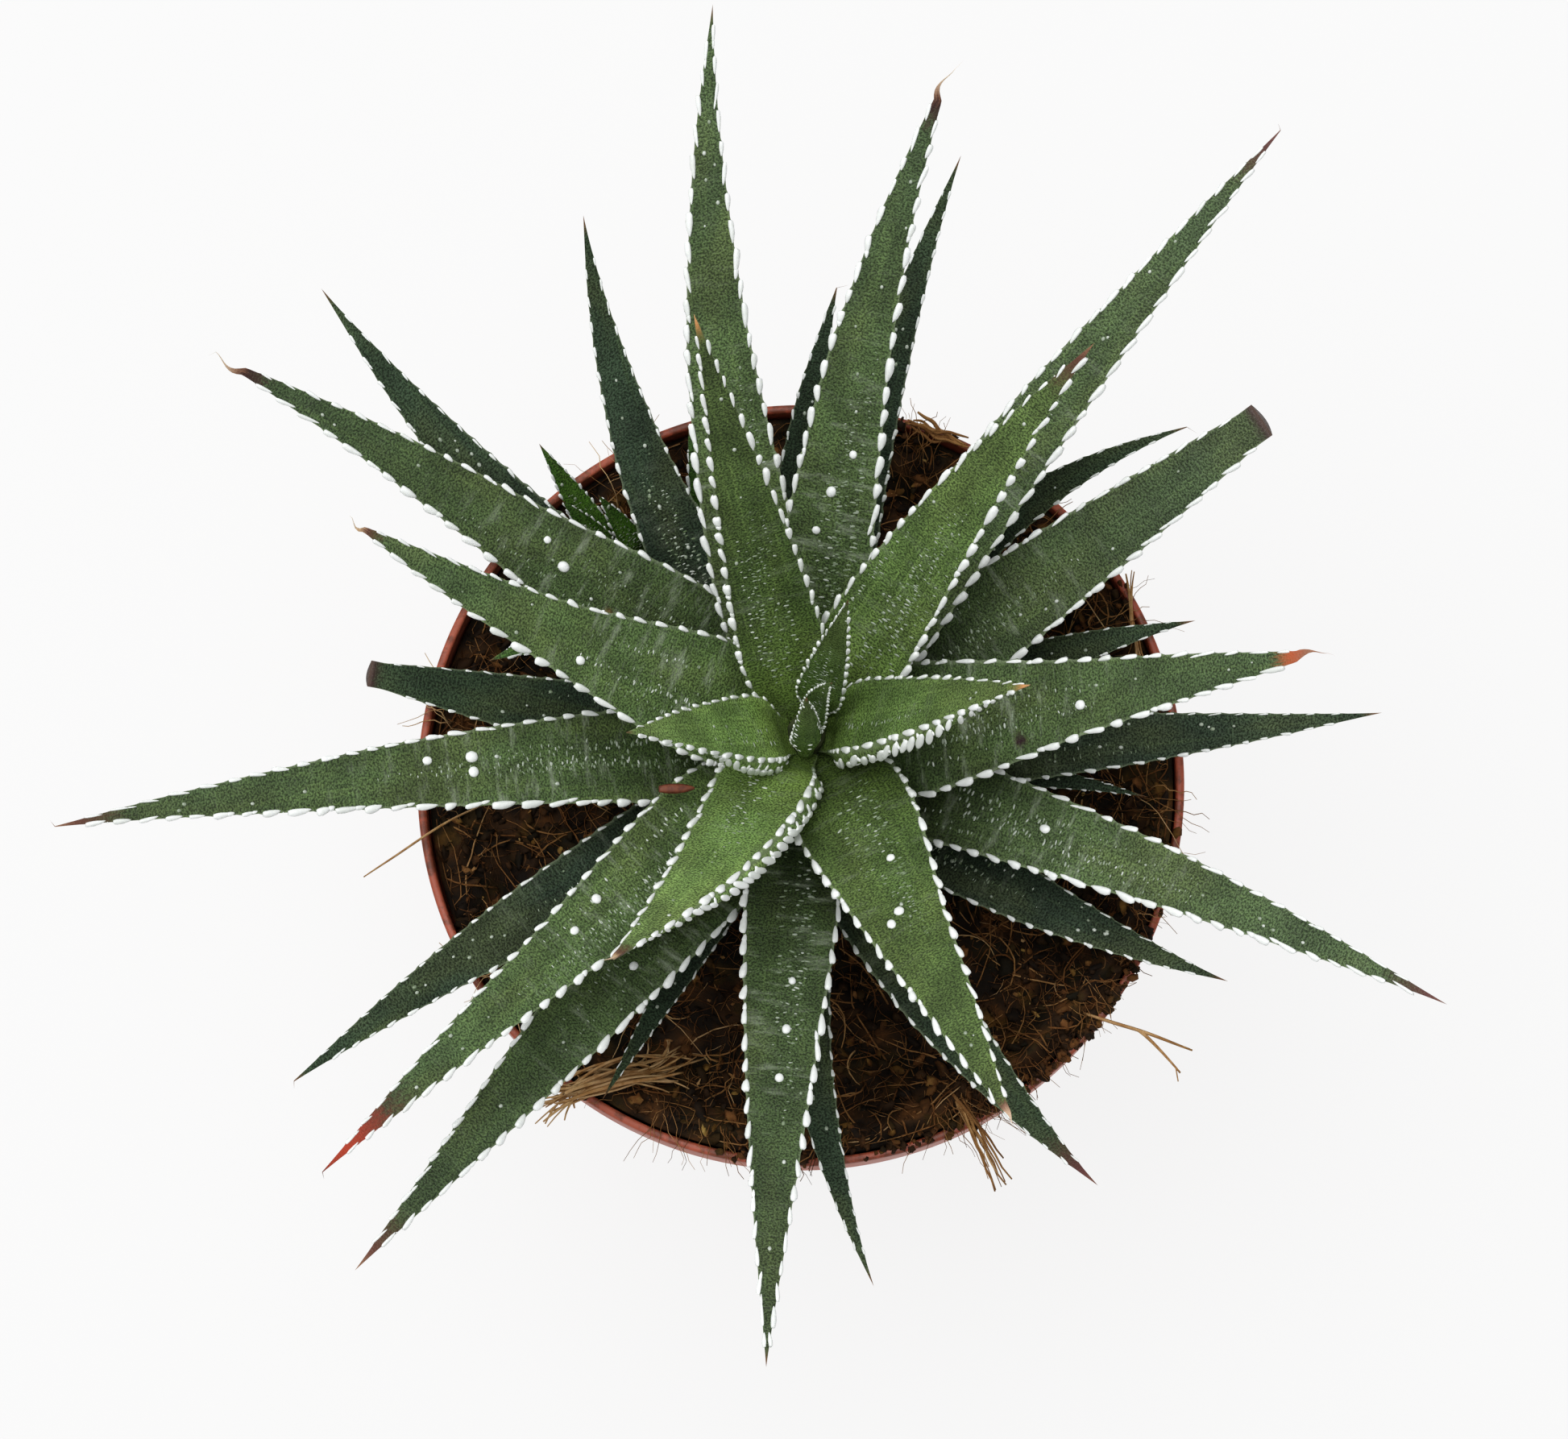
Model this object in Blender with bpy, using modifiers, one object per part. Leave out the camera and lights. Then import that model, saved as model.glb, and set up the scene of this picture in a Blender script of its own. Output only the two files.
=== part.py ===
# A potted haworthia: a leafy rosette with two small offsets, in a round plastic nursery pot.
# Metres, +Z up. The origin is the middle of the pot's underside, on the surface it stands on.
# -Y is the side that faces the viewer.

import math
from collections import namedtuple

import bmesh
import bpy
from mathutils import Vector, noise

MM = 0.001
GAP = 0.3 * MM  # clearance between pieces that touch

# Pot, a 9 cm nursery pot
POT_HEIGHT = 80 * MM
RIM_RADIUS = 45 * MM  # outside of the upright collar
COLLAR_HEIGHT = 9 * MM
COLLAR_STEP = 1.1 * MM  # the wall under the collar steps in by this much
BASE_RADIUS = 31 * MM
WALL = 1.0 * MM
FLOOR = 1.2 * MM
EDGE = 0.3 * MM  # small chamfer on the lip and the foot
PAD_RADIUS = 13 * MM  # flat middle of the underside
CHANNEL_INNER = 15 * MM  # raised ring of floor that the drainage holes go through
CHANNEL_OUTER = 25 * MM
CHANNEL_RISE = 2.5 * MM
HOLE_COUNT = 8
HOLE_RADIUS = 3 * MM
POT_STEPS = 72

# Soil
SOIL_TOP = 73.2 * MM
SOIL_TILT_X = 0.006  # the soil lies a little higher on the right and at the front
SOIL_TILT_Y = -0.005
SOIL_RELIEF = 0.7 * MM
SOIL_LUMP = 9 * MM  # size of one hump in the soil
SOIL_RINGS = 8
SOIL_STEPS = 48

# Stem, upright in the soil, with a few thick roots at its foot
STEM_X = 0.5 * MM
STEM_Y = 3.0 * MM
STEM_FOOT = 52 * MM
STEM_TOP = 103 * MM
STEM_FOOT_RADIUS = 5.0 * MM
STEM_TOP_RADIUS = 2.2 * MM
STEM_CROWN = 0.6  # radius of the flat top, as a share of the stem's radius there
STEM_SIDES = 20
ROOT_RADIUS = 1.5 * MM
ROOT_TIP_RADIUS = 0.6 * MM
ROOT_HEADINGS = (20, 82, 151, 205, 268, 323)  # degrees
ROOT_REACH = 27 * MM
ROOT_DROP = 36 * MM
ROOT_START = 3 * MM  # height above the stem's foot where a root leaves it
ROOT_SPREAD_POWER = 0.8  # a root spreads first
ROOT_DROP_POWER = 1.4  # and sinks later
ROOT_SWING = 0.35  # radians that a root wanders to either side
ROOT_WAVES = 3.1
ROOT_POINTS = 7

# Leaves. Every leaf lies on its own bowl-shaped surface round the stem. The older leaves lie on
# lower and flatter bowls, so that they nest without touching.
LEAF_STATIONS = (0.0, 0.06, 0.14, 0.26, 0.4, 0.55, 0.7, 0.83, 0.93, 0.985)
LEAF_BASE_WIDTH = 0.45  # share of the full width where the leaf clasps the stem
LEAF_FULL_AT = 0.16  # share of the length at which the leaf has its full width
LEAF_TAPER = (1.6, 1.1)
LEAF_THICKNESS = 0.27  # share of the width, at the keel
LEAF_BASE_THICKNESS = 0.8 * MM
LEAF_TIP_THICKNESS = 0.15 * MM
LEAF_SLIMMING = (2, 0.7)  # how the thickness falls away toward the point
LEAF_MARGIN_DROP = 0.1  # the margin lies this share of the thickness below the upper face
LEAF_CHANNEL_HALFWAY = 0.75  # share of the channel's depth, halfway out to the margin
LEAF_FLANK = 0.62  # the underside's shoulder, out from the keel and down from the upper face
LEAF_CHANNEL = 0.045  # depth of the hollow in the upper face, as a share of the width
WRAP_LIMIT = 1.15  # radians that half a leaf base may clasp
END_STRIPS = ((0, 1, 7), (1, 2, 6, 7), (2, 3, 5, 6), (3, 4, 5))  # points of a cross-section, for its cap
BUD_START = (2.0 * MM, 1.6 * MM, 2.8 * MM)  # where the three youngest leaves stand, from the stem's axis

Leaf = namedtuple("Leaf", "heading reach base tip arch sway width roll")
# heading: direction of the tip in plan, degrees anticlockwise from +X
# reach: stem axis to tip in plan; base, tip: heights above the pot's underside; all in millimetres
# arch, sway: how far the middle stands above, and anticlockwise of, the straight line to the tip
# width: widest part; roll: degrees that the anticlockwise edge is turned up

INNER_LEAVES = (
    Leaf(270, -1.2, 104.0, 124, 0.0, 0.0, 4.4, 0),
    Leaf(40, 3.6, 104.5, 127, 0.0, 0.8, 4.0, 0),
    Leaf(67, 11.5, 103.0, 134, 0.0, 0.0, 6.0, 0),
    Leaf(193, 20.0, 102.0, 138, 0.0, -0.5, 9.0, 14),
    Leaf(1, 24.0, 101.0, 140, 0.0, 0.5, 9.2, -24),
    Leaf(234, 36.8, 100.0, 142, 0.0, 1.5, 11.5, 24),
    Leaf(295, 52.0, 98.5, 142, 0.0, 0.2, 13.2, 0),
    Leaf(107, 41.6, 97.5, 146, 0.0, -0.2, 11.2, 0),
    Leaf(50, 48.0, 95.5, 145, 0.0, 1.6, 12.4, 0),
)

MIDDLE_LEAVES = (
    Leaf(158.5, 54.0, 95.5, 132, 0.0, 1.2, 12.0, 0),
    Leaf(5, 58.0, 93.0, 127, 0.0, -0.3, 13.4, 0),
    Leaf(76.5, 73.0, 92.5, 130, 0.0, 3.2, 12.0, 0),
    Leaf(225, 73.7, 92.5, 130, 0.0, -0.7, 11.0, 0),
    Leaf(266.5, 72.3, 91.5, 124, 0.0, -0.6, 12.4, 0),
    Leaf(97.5, 80.0, 88.5, 124, 0.0, 4.2, 12.2, 0),
    Leaf(51.5, 84.7, 91.0, 122, 0.0, 1.7, 11.6, 0),
    Leaf(34, 78.0, 86.0, 116, 0.0, 0.0, 13.2, 0),
    Leaf(188.5, 84.0, 87.5, 124, 0.0, -2.0, 12.0, 0),
    Leaf(149.5, 78.0, 85.0, 120, 0.0, -2.4, 12.4, 0),
    Leaf(231, 79.0, 85.5, 116, 0.0, 0.2, 13.4, 0),
    Leaf(335.5, 77.7, 84.5, 118, 0.0, 1.8, 11.4, 0),
)

OUTER_LEAVES = (
    Leaf(215, 70.5, 82.0, 102, 0.0, -1.4, 11.2, 0),
    Leaf(75, 69.0, 81.0, 104, 0.0, 2.3, 9.6, 0),
    Leaf(137.5, 75.0, 83.0, 106, 0.0, 3.4, 12.0, 0),
    Leaf(302.5, 61.0, 82.0, 104, 0.0, -3.6, 12.0, 0),
    Leaf(2.5, 66.0, 81.5, 98, 0.0, -0.8, 10.2, 0),
    Leaf(113, 65.5, 79.0, 101, 0.0, 4.5, 10.8, 0),
    Leaf(38, 57.3, 78.5, 98, 0.0, 6.0, 9.0, 0),
    Leaf(277, 63.0, 80.0, 98, 0.0, -4.0, 8.6, 0),
    Leaf(330.5, 55.7, 79.5, 92, 0.0, -2.2, 10.2, 0),
    Leaf(84.5, 54.0, 76.5, 93, 0.0, 2.4, 10.0, 0),
    Leaf(171, 62.0, 78.5, 98, 0.0, 0.0, 10.4, 0),
    Leaf(18, 47.6, 75.2, 90, 0.0, 2.0, 9.0, 0),
    Leaf(352.5, 40.3, 78.2, 84.5, 0.0, 1.2, 5.6, 0),
    Leaf(240, 47.0, 76.5, 86, 0.0, 0.0, 6.4, 0),
)

# Leaves cut short: the share of the length that is left
CUT_LEAVES = {"middle_leaf_8": 0.8, "outer_leaf_11": 0.82}

OFFSET_START = 1.2 * MM  # where an offset's leaf stands, from the offset's own axis

# Offsets: the place of each one's own axis on the soil (x, y in millimetres) and its leaves
OFFSETS = (
    ((-22.0, 27.0), (
        Leaf(127, 14.0, 75.5, 92, 1.0, 0.0, 4.4, 0),
        Leaf(140, 7.5, 79.0, 90, 0.5, 0.0, 3.6, 0),
    )),
    ((-18.4, 27.4), (
        Leaf(132, 8.0, 75.0, 85, 0.5, 0.0, 3.6, 0),
    )),
    ((-20.0, 21.0), (
        Leaf(203, 18.0, 76.0, 83, 1.5, 0.0, 5.0, 0),
    )),
    ((-10.0, 23.0), (
        Leaf(100, 18.5, 75.5, 86, 1.0, 0.0, 4.6, 0),
    )),
)

# Loose pieces, as routes of hand-set points in millimetres with a radius
LOOSE_PIECES = {
    "dry_husk": (0.45, ((-16.6, -3.6, 101.8), (-14.4, -3.2, 101.4), (-11.6, -3.4, 100.8))),
    "bark_strip": (0.5, ((12.6, 42.6, 80.9), (16.0, 41.6, 81.0), (19.6, 39.9, 80.9))),
    "straw": (0.35, ((38.4, 24.6, 80.8), (39.4, 18.6, 81.2), (39.6, 13.4, 80.9))),
    "straw_tuft": (1.1, (
        (-15.0, -33.4, 76.0),
        (-20.0, -34.4, 81.8),
        (-26.0, -36.4, 82.6),
        (-30.0, -38.2, 81.8),
    )),
    "forked_root": (0.5, (
        (31.5, -26.2, 75.5),
        (33.4, -27.2, 81.5),
        (36.5, -28.6, 82.0),
        (41.0, -29.6, 81.4),
        (46.4, -32.0, 79.4),
    )),
    "thin_root": (0.35, (
        (-36.4, -1.8, 76.0),
        (-39.8, -3.8, 81.4),
        (-44.0, -6.4, 81.8),
        (-51.4, -11.2, 79.0),
    )),
}

POT_COLOUR = (0.36, 0.10, 0.06)
SOIL_COLOUR = (0.035, 0.022, 0.014)
STEM_COLOUR = (0.30, 0.24, 0.14)
INNER_COLOUR = (0.11, 0.22, 0.06)
MIDDLE_COLOUR = (0.06, 0.14, 0.05)
OUTER_COLOUR = (0.03, 0.08, 0.045)
OFFSET_COLOUR = (0.10, 0.26, 0.05)
STRAW_COLOUR = (0.42, 0.29, 0.15)


def clear_scene():
    for item in list(bpy.data.objects):
        bpy.data.objects.remove(item, do_unlink=True)


def new_collection(name):
    collection = bpy.data.collections.new(name)
    bpy.context.scene.collection.children.link(collection)
    return collection


def material(name, colour, roughness, metallic=0.0):
    mat = bpy.data.materials.new(name)
    mat.use_nodes = True
    shader = mat.node_tree.nodes["Principled BSDF"]
    shader.inputs["Base Color"].default_value = (*colour, 1.0)
    shader.inputs["Roughness"].default_value = roughness
    shader.inputs["Metallic"].default_value = metallic
    mat.diffuse_color = (*colour, 1.0)
    return mat


def add_object(name, data, collection, mat):
    item = bpy.data.objects.new(name, data)
    collection.objects.link(item)
    if mat is not None:
        data.materials.append(mat)
    return item


def evaluated_mesh(item):
    """The object's mesh with its modifiers applied, in its own space."""
    graph = bpy.context.evaluated_depsgraph_get()
    return bpy.data.meshes.new_from_object(item.evaluated_get(graph))


def turned(name, profile, steps, collection, mat):
    """A turned piece, from a profile of (radius, height) that starts and ends on the axis."""
    mesh = bpy.data.meshes.new(name)
    edges = [(i, i + 1) for i in range(len(profile) - 1)]
    mesh.from_pydata([(radius, 0.0, height) for radius, height in profile], edges, [])
    item = add_object(name, mesh, collection, mat)
    screw = item.modifiers.new("Turn", "SCREW")
    screw.angle = 2 * math.pi
    screw.steps = steps
    screw.render_steps = steps
    screw.use_merge_vertices = True
    screw.merge_threshold = 0.00001
    screw.use_smooth_shade = True
    return item


def as_cutter(item, cutters):
    for collection in list(item.users_collection):
        collection.objects.unlink(item)
    cutters.objects.link(item)
    item.hide_render = True
    item.display_type = "WIRE"


def boolean(item, other, operation):
    modifier = item.modifiers.new(operation.title(), "BOOLEAN")
    modifier.operation = operation
    modifier.solver = "EXACT"
    modifier.object = other


def wall_radius(height):
    """Outer radius of the pot's tapered wall below the collar."""
    shoulder = POT_HEIGHT - COLLAR_HEIGHT
    top = RIM_RADIUS - COLLAR_STEP
    return BASE_RADIUS + (top - BASE_RADIUS) * height / shoulder


def build_pot(parts, cutters):
    shoulder = POT_HEIGHT - COLLAR_HEIGHT
    inner_rim = RIM_RADIUS - WALL
    profile = [
        (0.0, FLOOR),
        (PAD_RADIUS - WALL, FLOOR),
        (CHANNEL_INNER, CHANNEL_RISE + FLOOR),
        (CHANNEL_OUTER, CHANNEL_RISE + FLOOR),
        (CHANNEL_OUTER + CHANNEL_RISE, FLOOR),
        (wall_radius(FLOOR) - WALL, FLOOR),
        (wall_radius(shoulder) - WALL, shoulder),
        (inner_rim, shoulder + COLLAR_STEP),
        (inner_rim, POT_HEIGHT - EDGE),
        (inner_rim + EDGE, POT_HEIGHT),
        (RIM_RADIUS - EDGE, POT_HEIGHT),
        (RIM_RADIUS, POT_HEIGHT - EDGE),
        (RIM_RADIUS, shoulder),
        (wall_radius(shoulder), shoulder),
        (wall_radius(EDGE), EDGE),
        (wall_radius(EDGE) - EDGE, 0.0),
        (CHANNEL_OUTER + CHANNEL_RISE - FLOOR, 0.0),
        (CHANNEL_OUTER - FLOOR, CHANNEL_RISE),
        (CHANNEL_INNER + FLOOR, CHANNEL_RISE),
        (PAD_RADIUS, 0.0),
        (0.0, 0.0),
    ]
    pot = turned("pot", profile, POT_STEPS, parts, material("pot_plastic", POT_COLOUR, 0.45))
    hole_ring = (CHANNEL_INNER + CHANNEL_OUTER) / 2
    for index in range(HOLE_COUNT):
        angle = 2 * math.pi * (index + 0.5) / HOLE_COUNT
        bpy.ops.mesh.primitive_cylinder_add(
            vertices=16,
            radius=HOLE_RADIUS,
            depth=4 * FLOOR,
            location=(hole_ring * math.cos(angle), hole_ring * math.sin(angle), CHANNEL_RISE + FLOOR / 2),
        )
        cutter = bpy.context.object
        cutter.name = f"drainage_cutter_{index + 1}"
        as_cutter(cutter, cutters)
        boolean(pot, cutter, "DIFFERENCE")
    return pot


def soil_height(x, y):
    """Height of the soil's surface: a slight tilt with soft humps."""
    hump = noise.noise(Vector((x / SOIL_LUMP, y / SOIL_LUMP, 0.7)))
    return SOIL_TOP + SOIL_TILT_X * x + SOIL_TILT_Y * y + SOIL_RELIEF * hump


def build_soil(parts):
    edge = RIM_RADIUS - WALL - GAP
    shoulder = POT_HEIGHT - COLLAR_HEIGHT
    below = wall_radius(shoulder) - WALL - GAP
    bottom = CHANNEL_RISE + FLOOR + GAP
    rings = [(edge * (ring + 1) / SOIL_RINGS, SOIL_TOP) for ring in range(SOIL_RINGS)]
    profile = [(0.0, SOIL_TOP)] + rings
    profile.append((edge, shoulder + COLLAR_STEP))
    profile.append((below, shoulder))
    profile.append((wall_radius(bottom) - WALL - GAP, bottom))
    profile.append((0.0, bottom))
    turned_soil = turned("soil", profile, SOIL_STEPS, parts, None)
    mesh = evaluated_mesh(turned_soil)
    bpy.data.objects.remove(turned_soil, do_unlink=True)
    for vertex in mesh.vertices:
        if vertex.co.z > SOIL_TOP - EDGE:  # the upper face only
            vertex.co.z = soil_height(vertex.co.x, vertex.co.y)
    return add_object("soil", mesh, parts, material("peat", SOIL_COLOUR, 0.95))


def stem_radius(height):
    share = (height - STEM_FOOT) / (STEM_TOP - STEM_FOOT)
    return STEM_FOOT_RADIUS + (STEM_TOP_RADIUS - STEM_FOOT_RADIUS) * min(max(share, 0.0), 1.0)


def stem_body(name, clearance, collection, mat):
    crown = STEM_TOP + clearance
    profile = [
        (0.0, crown),
        (STEM_TOP_RADIUS * STEM_CROWN + clearance, crown),
        (STEM_TOP_RADIUS + clearance, STEM_TOP - STEM_TOP_RADIUS / 2),
        (stem_radius(SOIL_TOP) + clearance, SOIL_TOP),
        (STEM_FOOT_RADIUS + clearance, STEM_FOOT),
        (STEM_FOOT_RADIUS / 2 + clearance, STEM_FOOT - STEM_FOOT_RADIUS * 0.8 - clearance),
        (0.0, STEM_FOOT - STEM_FOOT_RADIUS - clearance),
    ]
    body = turned(name, profile, STEM_SIDES, collection, mat)
    body.location = (STEM_X, STEM_Y, 0.0)
    return body


def root_body(name, heading, clearance, collection):
    """One root: a tapering curve that leaves the foot of the stem, spreads and sinks."""
    curve = bpy.data.curves.new(name, "CURVE")
    curve.dimensions = "3D"
    curve.bevel_depth = 1.0
    curve.bevel_resolution = 1
    curve.use_fill_caps = True
    spline = curve.splines.new("POLY")
    spline.points.add(ROOT_POINTS - 1)
    for index, point in enumerate(spline.points):
        share = index / (ROOT_POINTS - 1)
        reach = ROOT_REACH * share ** ROOT_SPREAD_POWER + clearance * (index == ROOT_POINTS - 1)
        angle = math.radians(heading) + ROOT_SWING * math.sin(ROOT_WAVES * share + heading)
        height = STEM_FOOT + ROOT_START - ROOT_DROP * share ** ROOT_DROP_POWER
        point.co = (reach * math.cos(angle), reach * math.sin(angle), height, 1.0)
        point.radius = ROOT_RADIUS + (ROOT_TIP_RADIUS - ROOT_RADIUS) * share + clearance
    guide = bpy.data.objects.new(name, curve)
    collection.objects.link(guide)
    guide.location = (STEM_X, STEM_Y, 0.0)
    bpy.context.view_layer.update()
    mesh = evaluated_mesh(guide)
    weld(mesh)
    item = bpy.data.objects.new(name, mesh)
    item.matrix_world = guide.matrix_world
    bpy.data.objects.remove(guide, do_unlink=True)
    collection.objects.link(item)
    return item


def weld(mesh):
    shell = bmesh.new()
    shell.from_mesh(mesh)
    bmesh.ops.remove_doubles(shell, verts=shell.verts, dist=0.000001)
    bmesh.ops.recalc_face_normals(shell, faces=shell.faces)
    shell.to_mesh(mesh)
    shell.free()


def build_stem(parts, cutters, soil):
    stem = stem_body("stem_with_roots", 0.0, parts, material("stem", STEM_COLOUR, 0.8))
    hollow = stem_body("stem_cutter", GAP, cutters, None)
    as_cutter(hollow, cutters)
    boolean(soil, hollow, "DIFFERENCE")
    for index, heading in enumerate(ROOT_HEADINGS):
        root = root_body(f"root_{index + 1}", heading, 0.0, cutters)
        as_cutter(root, cutters)
        boolean(stem, root, "UNION")
        tunnel = root_body(f"root_cutter_{index + 1}", heading, GAP, cutters)
        as_cutter(tunnel, cutters)
        boolean(soil, tunnel, "DIFFERENCE")
    return stem


def smooth(share):
    share = min(max(share, 0.0), 1.0)
    return share * share * (3 - 2 * share)


def leaf_width(leaf, share):
    inner, outer = LEAF_TAPER
    clasp = LEAF_BASE_WIDTH + (1 - LEAF_BASE_WIDTH) * smooth(share / LEAF_FULL_AT)
    return leaf.width * MM * (1 - share ** inner) ** outer * clasp


def leaf_thickness(leaf, share):
    inner, outer = LEAF_SLIMMING
    full = LEAF_THICKNESS * leaf.width * MM * (1 - share ** inner) ** outer + LEAF_TIP_THICKNESS
    base = min(LEAF_BASE_THICKNESS, full)
    return base + (full - base) * smooth(share / LEAF_FULL_AT)


def leaf_ring(leaf, share, start):
    """One cross-section: a shallow channel above and a keel below, bent round the stem's axis."""
    reach = start + (leaf.reach * MM - start) * share
    rise = (leaf.tip - leaf.base) * MM
    height = leaf.base * MM + rise * share + leaf.arch * MM * 4 * share * (1 - share)
    slope = math.atan2(rise + leaf.arch * MM * 4 * (1 - 2 * share), leaf.reach * MM - start)
    lateral = leaf.sway * MM * 4 * share * (1 - share)
    half = leaf_width(leaf, share) / 2
    thickness = leaf_thickness(leaf, share)
    channel = LEAF_CHANNEL * 2 * half
    lift = math.tan(math.radians(leaf.roll)) * smooth(share / LEAF_FULL_AT)
    margin = -LEAF_MARGIN_DROP * thickness
    halfway = -LEAF_CHANNEL_HALFWAY * channel
    flank = -LEAF_FLANK * thickness
    outline = (
        (1.0, margin),
        (0.5, halfway),
        (0.0, -channel),
        (-0.5, halfway),
        (-1.0, margin),
        (-LEAF_FLANK, flank),
        (0.0, -thickness),
        (LEAF_FLANK, flank),
    )
    heading = math.radians(leaf.heading)
    bend = max(reach, half / WRAP_LIMIT)
    centre = reach - bend
    points = []
    for across, depth in outline:
        offset = across * half
        above = depth + offset * lift
        radius = bend - above * math.sin(slope)
        angle = heading + (lateral + offset) / bend
        points.append(Vector((
            centre * math.cos(heading) + radius * math.cos(angle),
            centre * math.sin(heading) + radius * math.sin(angle),
            height + above * math.cos(slope),
        )))
    return points


def cap_end(shell, ring):
    """Close a cross-section strip by strip, because it is bent."""
    for corners in END_STRIPS:
        shell.faces.new([ring[corner] for corner in corners])


def build_leaf(name, leaf, axis, start, parts, mat):
    """A leaf as a loft through its cross-sections, from its base to its point or its cut end."""
    length_left = CUT_LEAVES.get(name, 1.0)
    shell = bmesh.new()
    rings = []
    for station in LEAF_STATIONS:
        ring = leaf_ring(leaf, station * length_left, start)
        rings.append([shell.verts.new(point) for point in ring])
    sides = len(rings[0])
    for low, high in zip(rings, rings[1:]):
        for side in range(sides):
            follow = (side + 1) % sides
            shell.faces.new((low[side], low[follow], high[follow], high[side]))
    cap_end(shell, rings[0])
    if length_left < 1.0:
        cap_end(shell, rings[-1])
    else:
        heading = math.radians(leaf.heading)
        reach = leaf.reach * MM
        point = shell.verts.new((reach * math.cos(heading), reach * math.sin(heading), leaf.tip * MM))
        for side in range(sides):
            shell.faces.new((rings[-1][side], rings[-1][(side + 1) % sides], point))
    bmesh.ops.recalc_face_normals(shell, faces=shell.faces)
    mesh = bpy.data.meshes.new(name)
    shell.to_mesh(mesh)
    shell.free()
    mesh.shade_smooth()
    item = add_object(name, mesh, parts, mat)
    item.location = (axis[0] * MM, axis[1] * MM, 0.0)
    return item


def build_ring_of_leaves(prefix, leaves, parts, mat):
    for index, leaf in enumerate(leaves):
        start = stem_radius(leaf.base * MM) + GAP
        if leaf.base * MM >= STEM_TOP:
            start = BUD_START[index]
        build_leaf(f"{prefix}_{index + 1}", leaf, (STEM_X / MM, STEM_Y / MM), start, parts, mat)


def build_offsets(parts, mat):
    number = 0
    for axis, leaves in OFFSETS:
        for leaf in leaves:
            number += 1
            build_leaf(f"offset_leaf_{number}", leaf, axis, OFFSET_START, parts, mat)


def build_loose_piece(name, radius, route, parts, mat):
    curve = bpy.data.curves.new(name, "CURVE")
    curve.dimensions = "3D"
    curve.bevel_depth = radius * MM
    curve.bevel_resolution = 1
    curve.resolution_u = 3
    curve.use_fill_caps = True
    spline = curve.splines.new("NURBS")
    spline.points.add(len(route) - 1)
    spline.order_u = 3
    spline.use_endpoint_u = True
    for point, place in zip(spline.points, route):
        point.co = (place[0] * MM, place[1] * MM, place[2] * MM, 1.0)
    add_object(name, curve, parts, mat)


def main():
    clear_scene()
    parts = new_collection("potted_haworthia")
    cutters = new_collection("cutters")
    build_pot(parts, cutters)
    soil = build_soil(parts)
    build_stem(parts, cutters, soil)
    build_ring_of_leaves("inner_leaf", INNER_LEAVES, parts, material("young_leaf", INNER_COLOUR, 0.45))
    build_ring_of_leaves("middle_leaf", MIDDLE_LEAVES, parts, material("grown_leaf", MIDDLE_COLOUR, 0.5))
    build_ring_of_leaves("outer_leaf", OUTER_LEAVES, parts, material("old_leaf", OUTER_COLOUR, 0.55))
    build_offsets(parts, material("offset_leaf", OFFSET_COLOUR, 0.45))
    dry = material("dry_fibre", STRAW_COLOUR, 0.9)
    for name, (radius, route) in LOOSE_PIECES.items():
        build_loose_piece(name, radius, route, parts, dry)


main()
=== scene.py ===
# A potted haworthia, dressed over its CAD frame
import math

import bmesh
import bpy
import numpy as np
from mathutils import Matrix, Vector, noise
from mathutils.bvhtree import BVHTree


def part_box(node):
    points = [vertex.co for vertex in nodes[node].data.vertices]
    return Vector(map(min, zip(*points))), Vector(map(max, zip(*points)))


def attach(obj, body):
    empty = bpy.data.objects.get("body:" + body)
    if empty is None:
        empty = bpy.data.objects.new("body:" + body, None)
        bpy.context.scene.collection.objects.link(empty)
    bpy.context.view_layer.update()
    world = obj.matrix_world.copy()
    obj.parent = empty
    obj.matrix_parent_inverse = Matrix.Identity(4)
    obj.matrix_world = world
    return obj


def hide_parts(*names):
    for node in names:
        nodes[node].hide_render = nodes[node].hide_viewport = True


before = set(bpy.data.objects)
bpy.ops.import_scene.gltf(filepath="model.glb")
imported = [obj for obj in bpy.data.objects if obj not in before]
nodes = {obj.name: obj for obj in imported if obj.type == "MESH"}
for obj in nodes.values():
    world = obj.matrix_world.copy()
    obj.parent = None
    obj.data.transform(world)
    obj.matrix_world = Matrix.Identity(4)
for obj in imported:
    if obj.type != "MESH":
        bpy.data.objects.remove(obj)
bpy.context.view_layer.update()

mm = 0.001
print("frame loaded:", len(nodes), "pieces")


# small helpers

def smoothStep(low, high, value):
    share = np.clip((value - low) / (high - low), 0.0, 1.0)
    return share * share * (3 - 2 * share)


def unit(vectors):
    length = np.linalg.norm(vectors, axis=-1, keepdims=True)
    return vectors / np.maximum(length, 1e-12)


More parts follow.
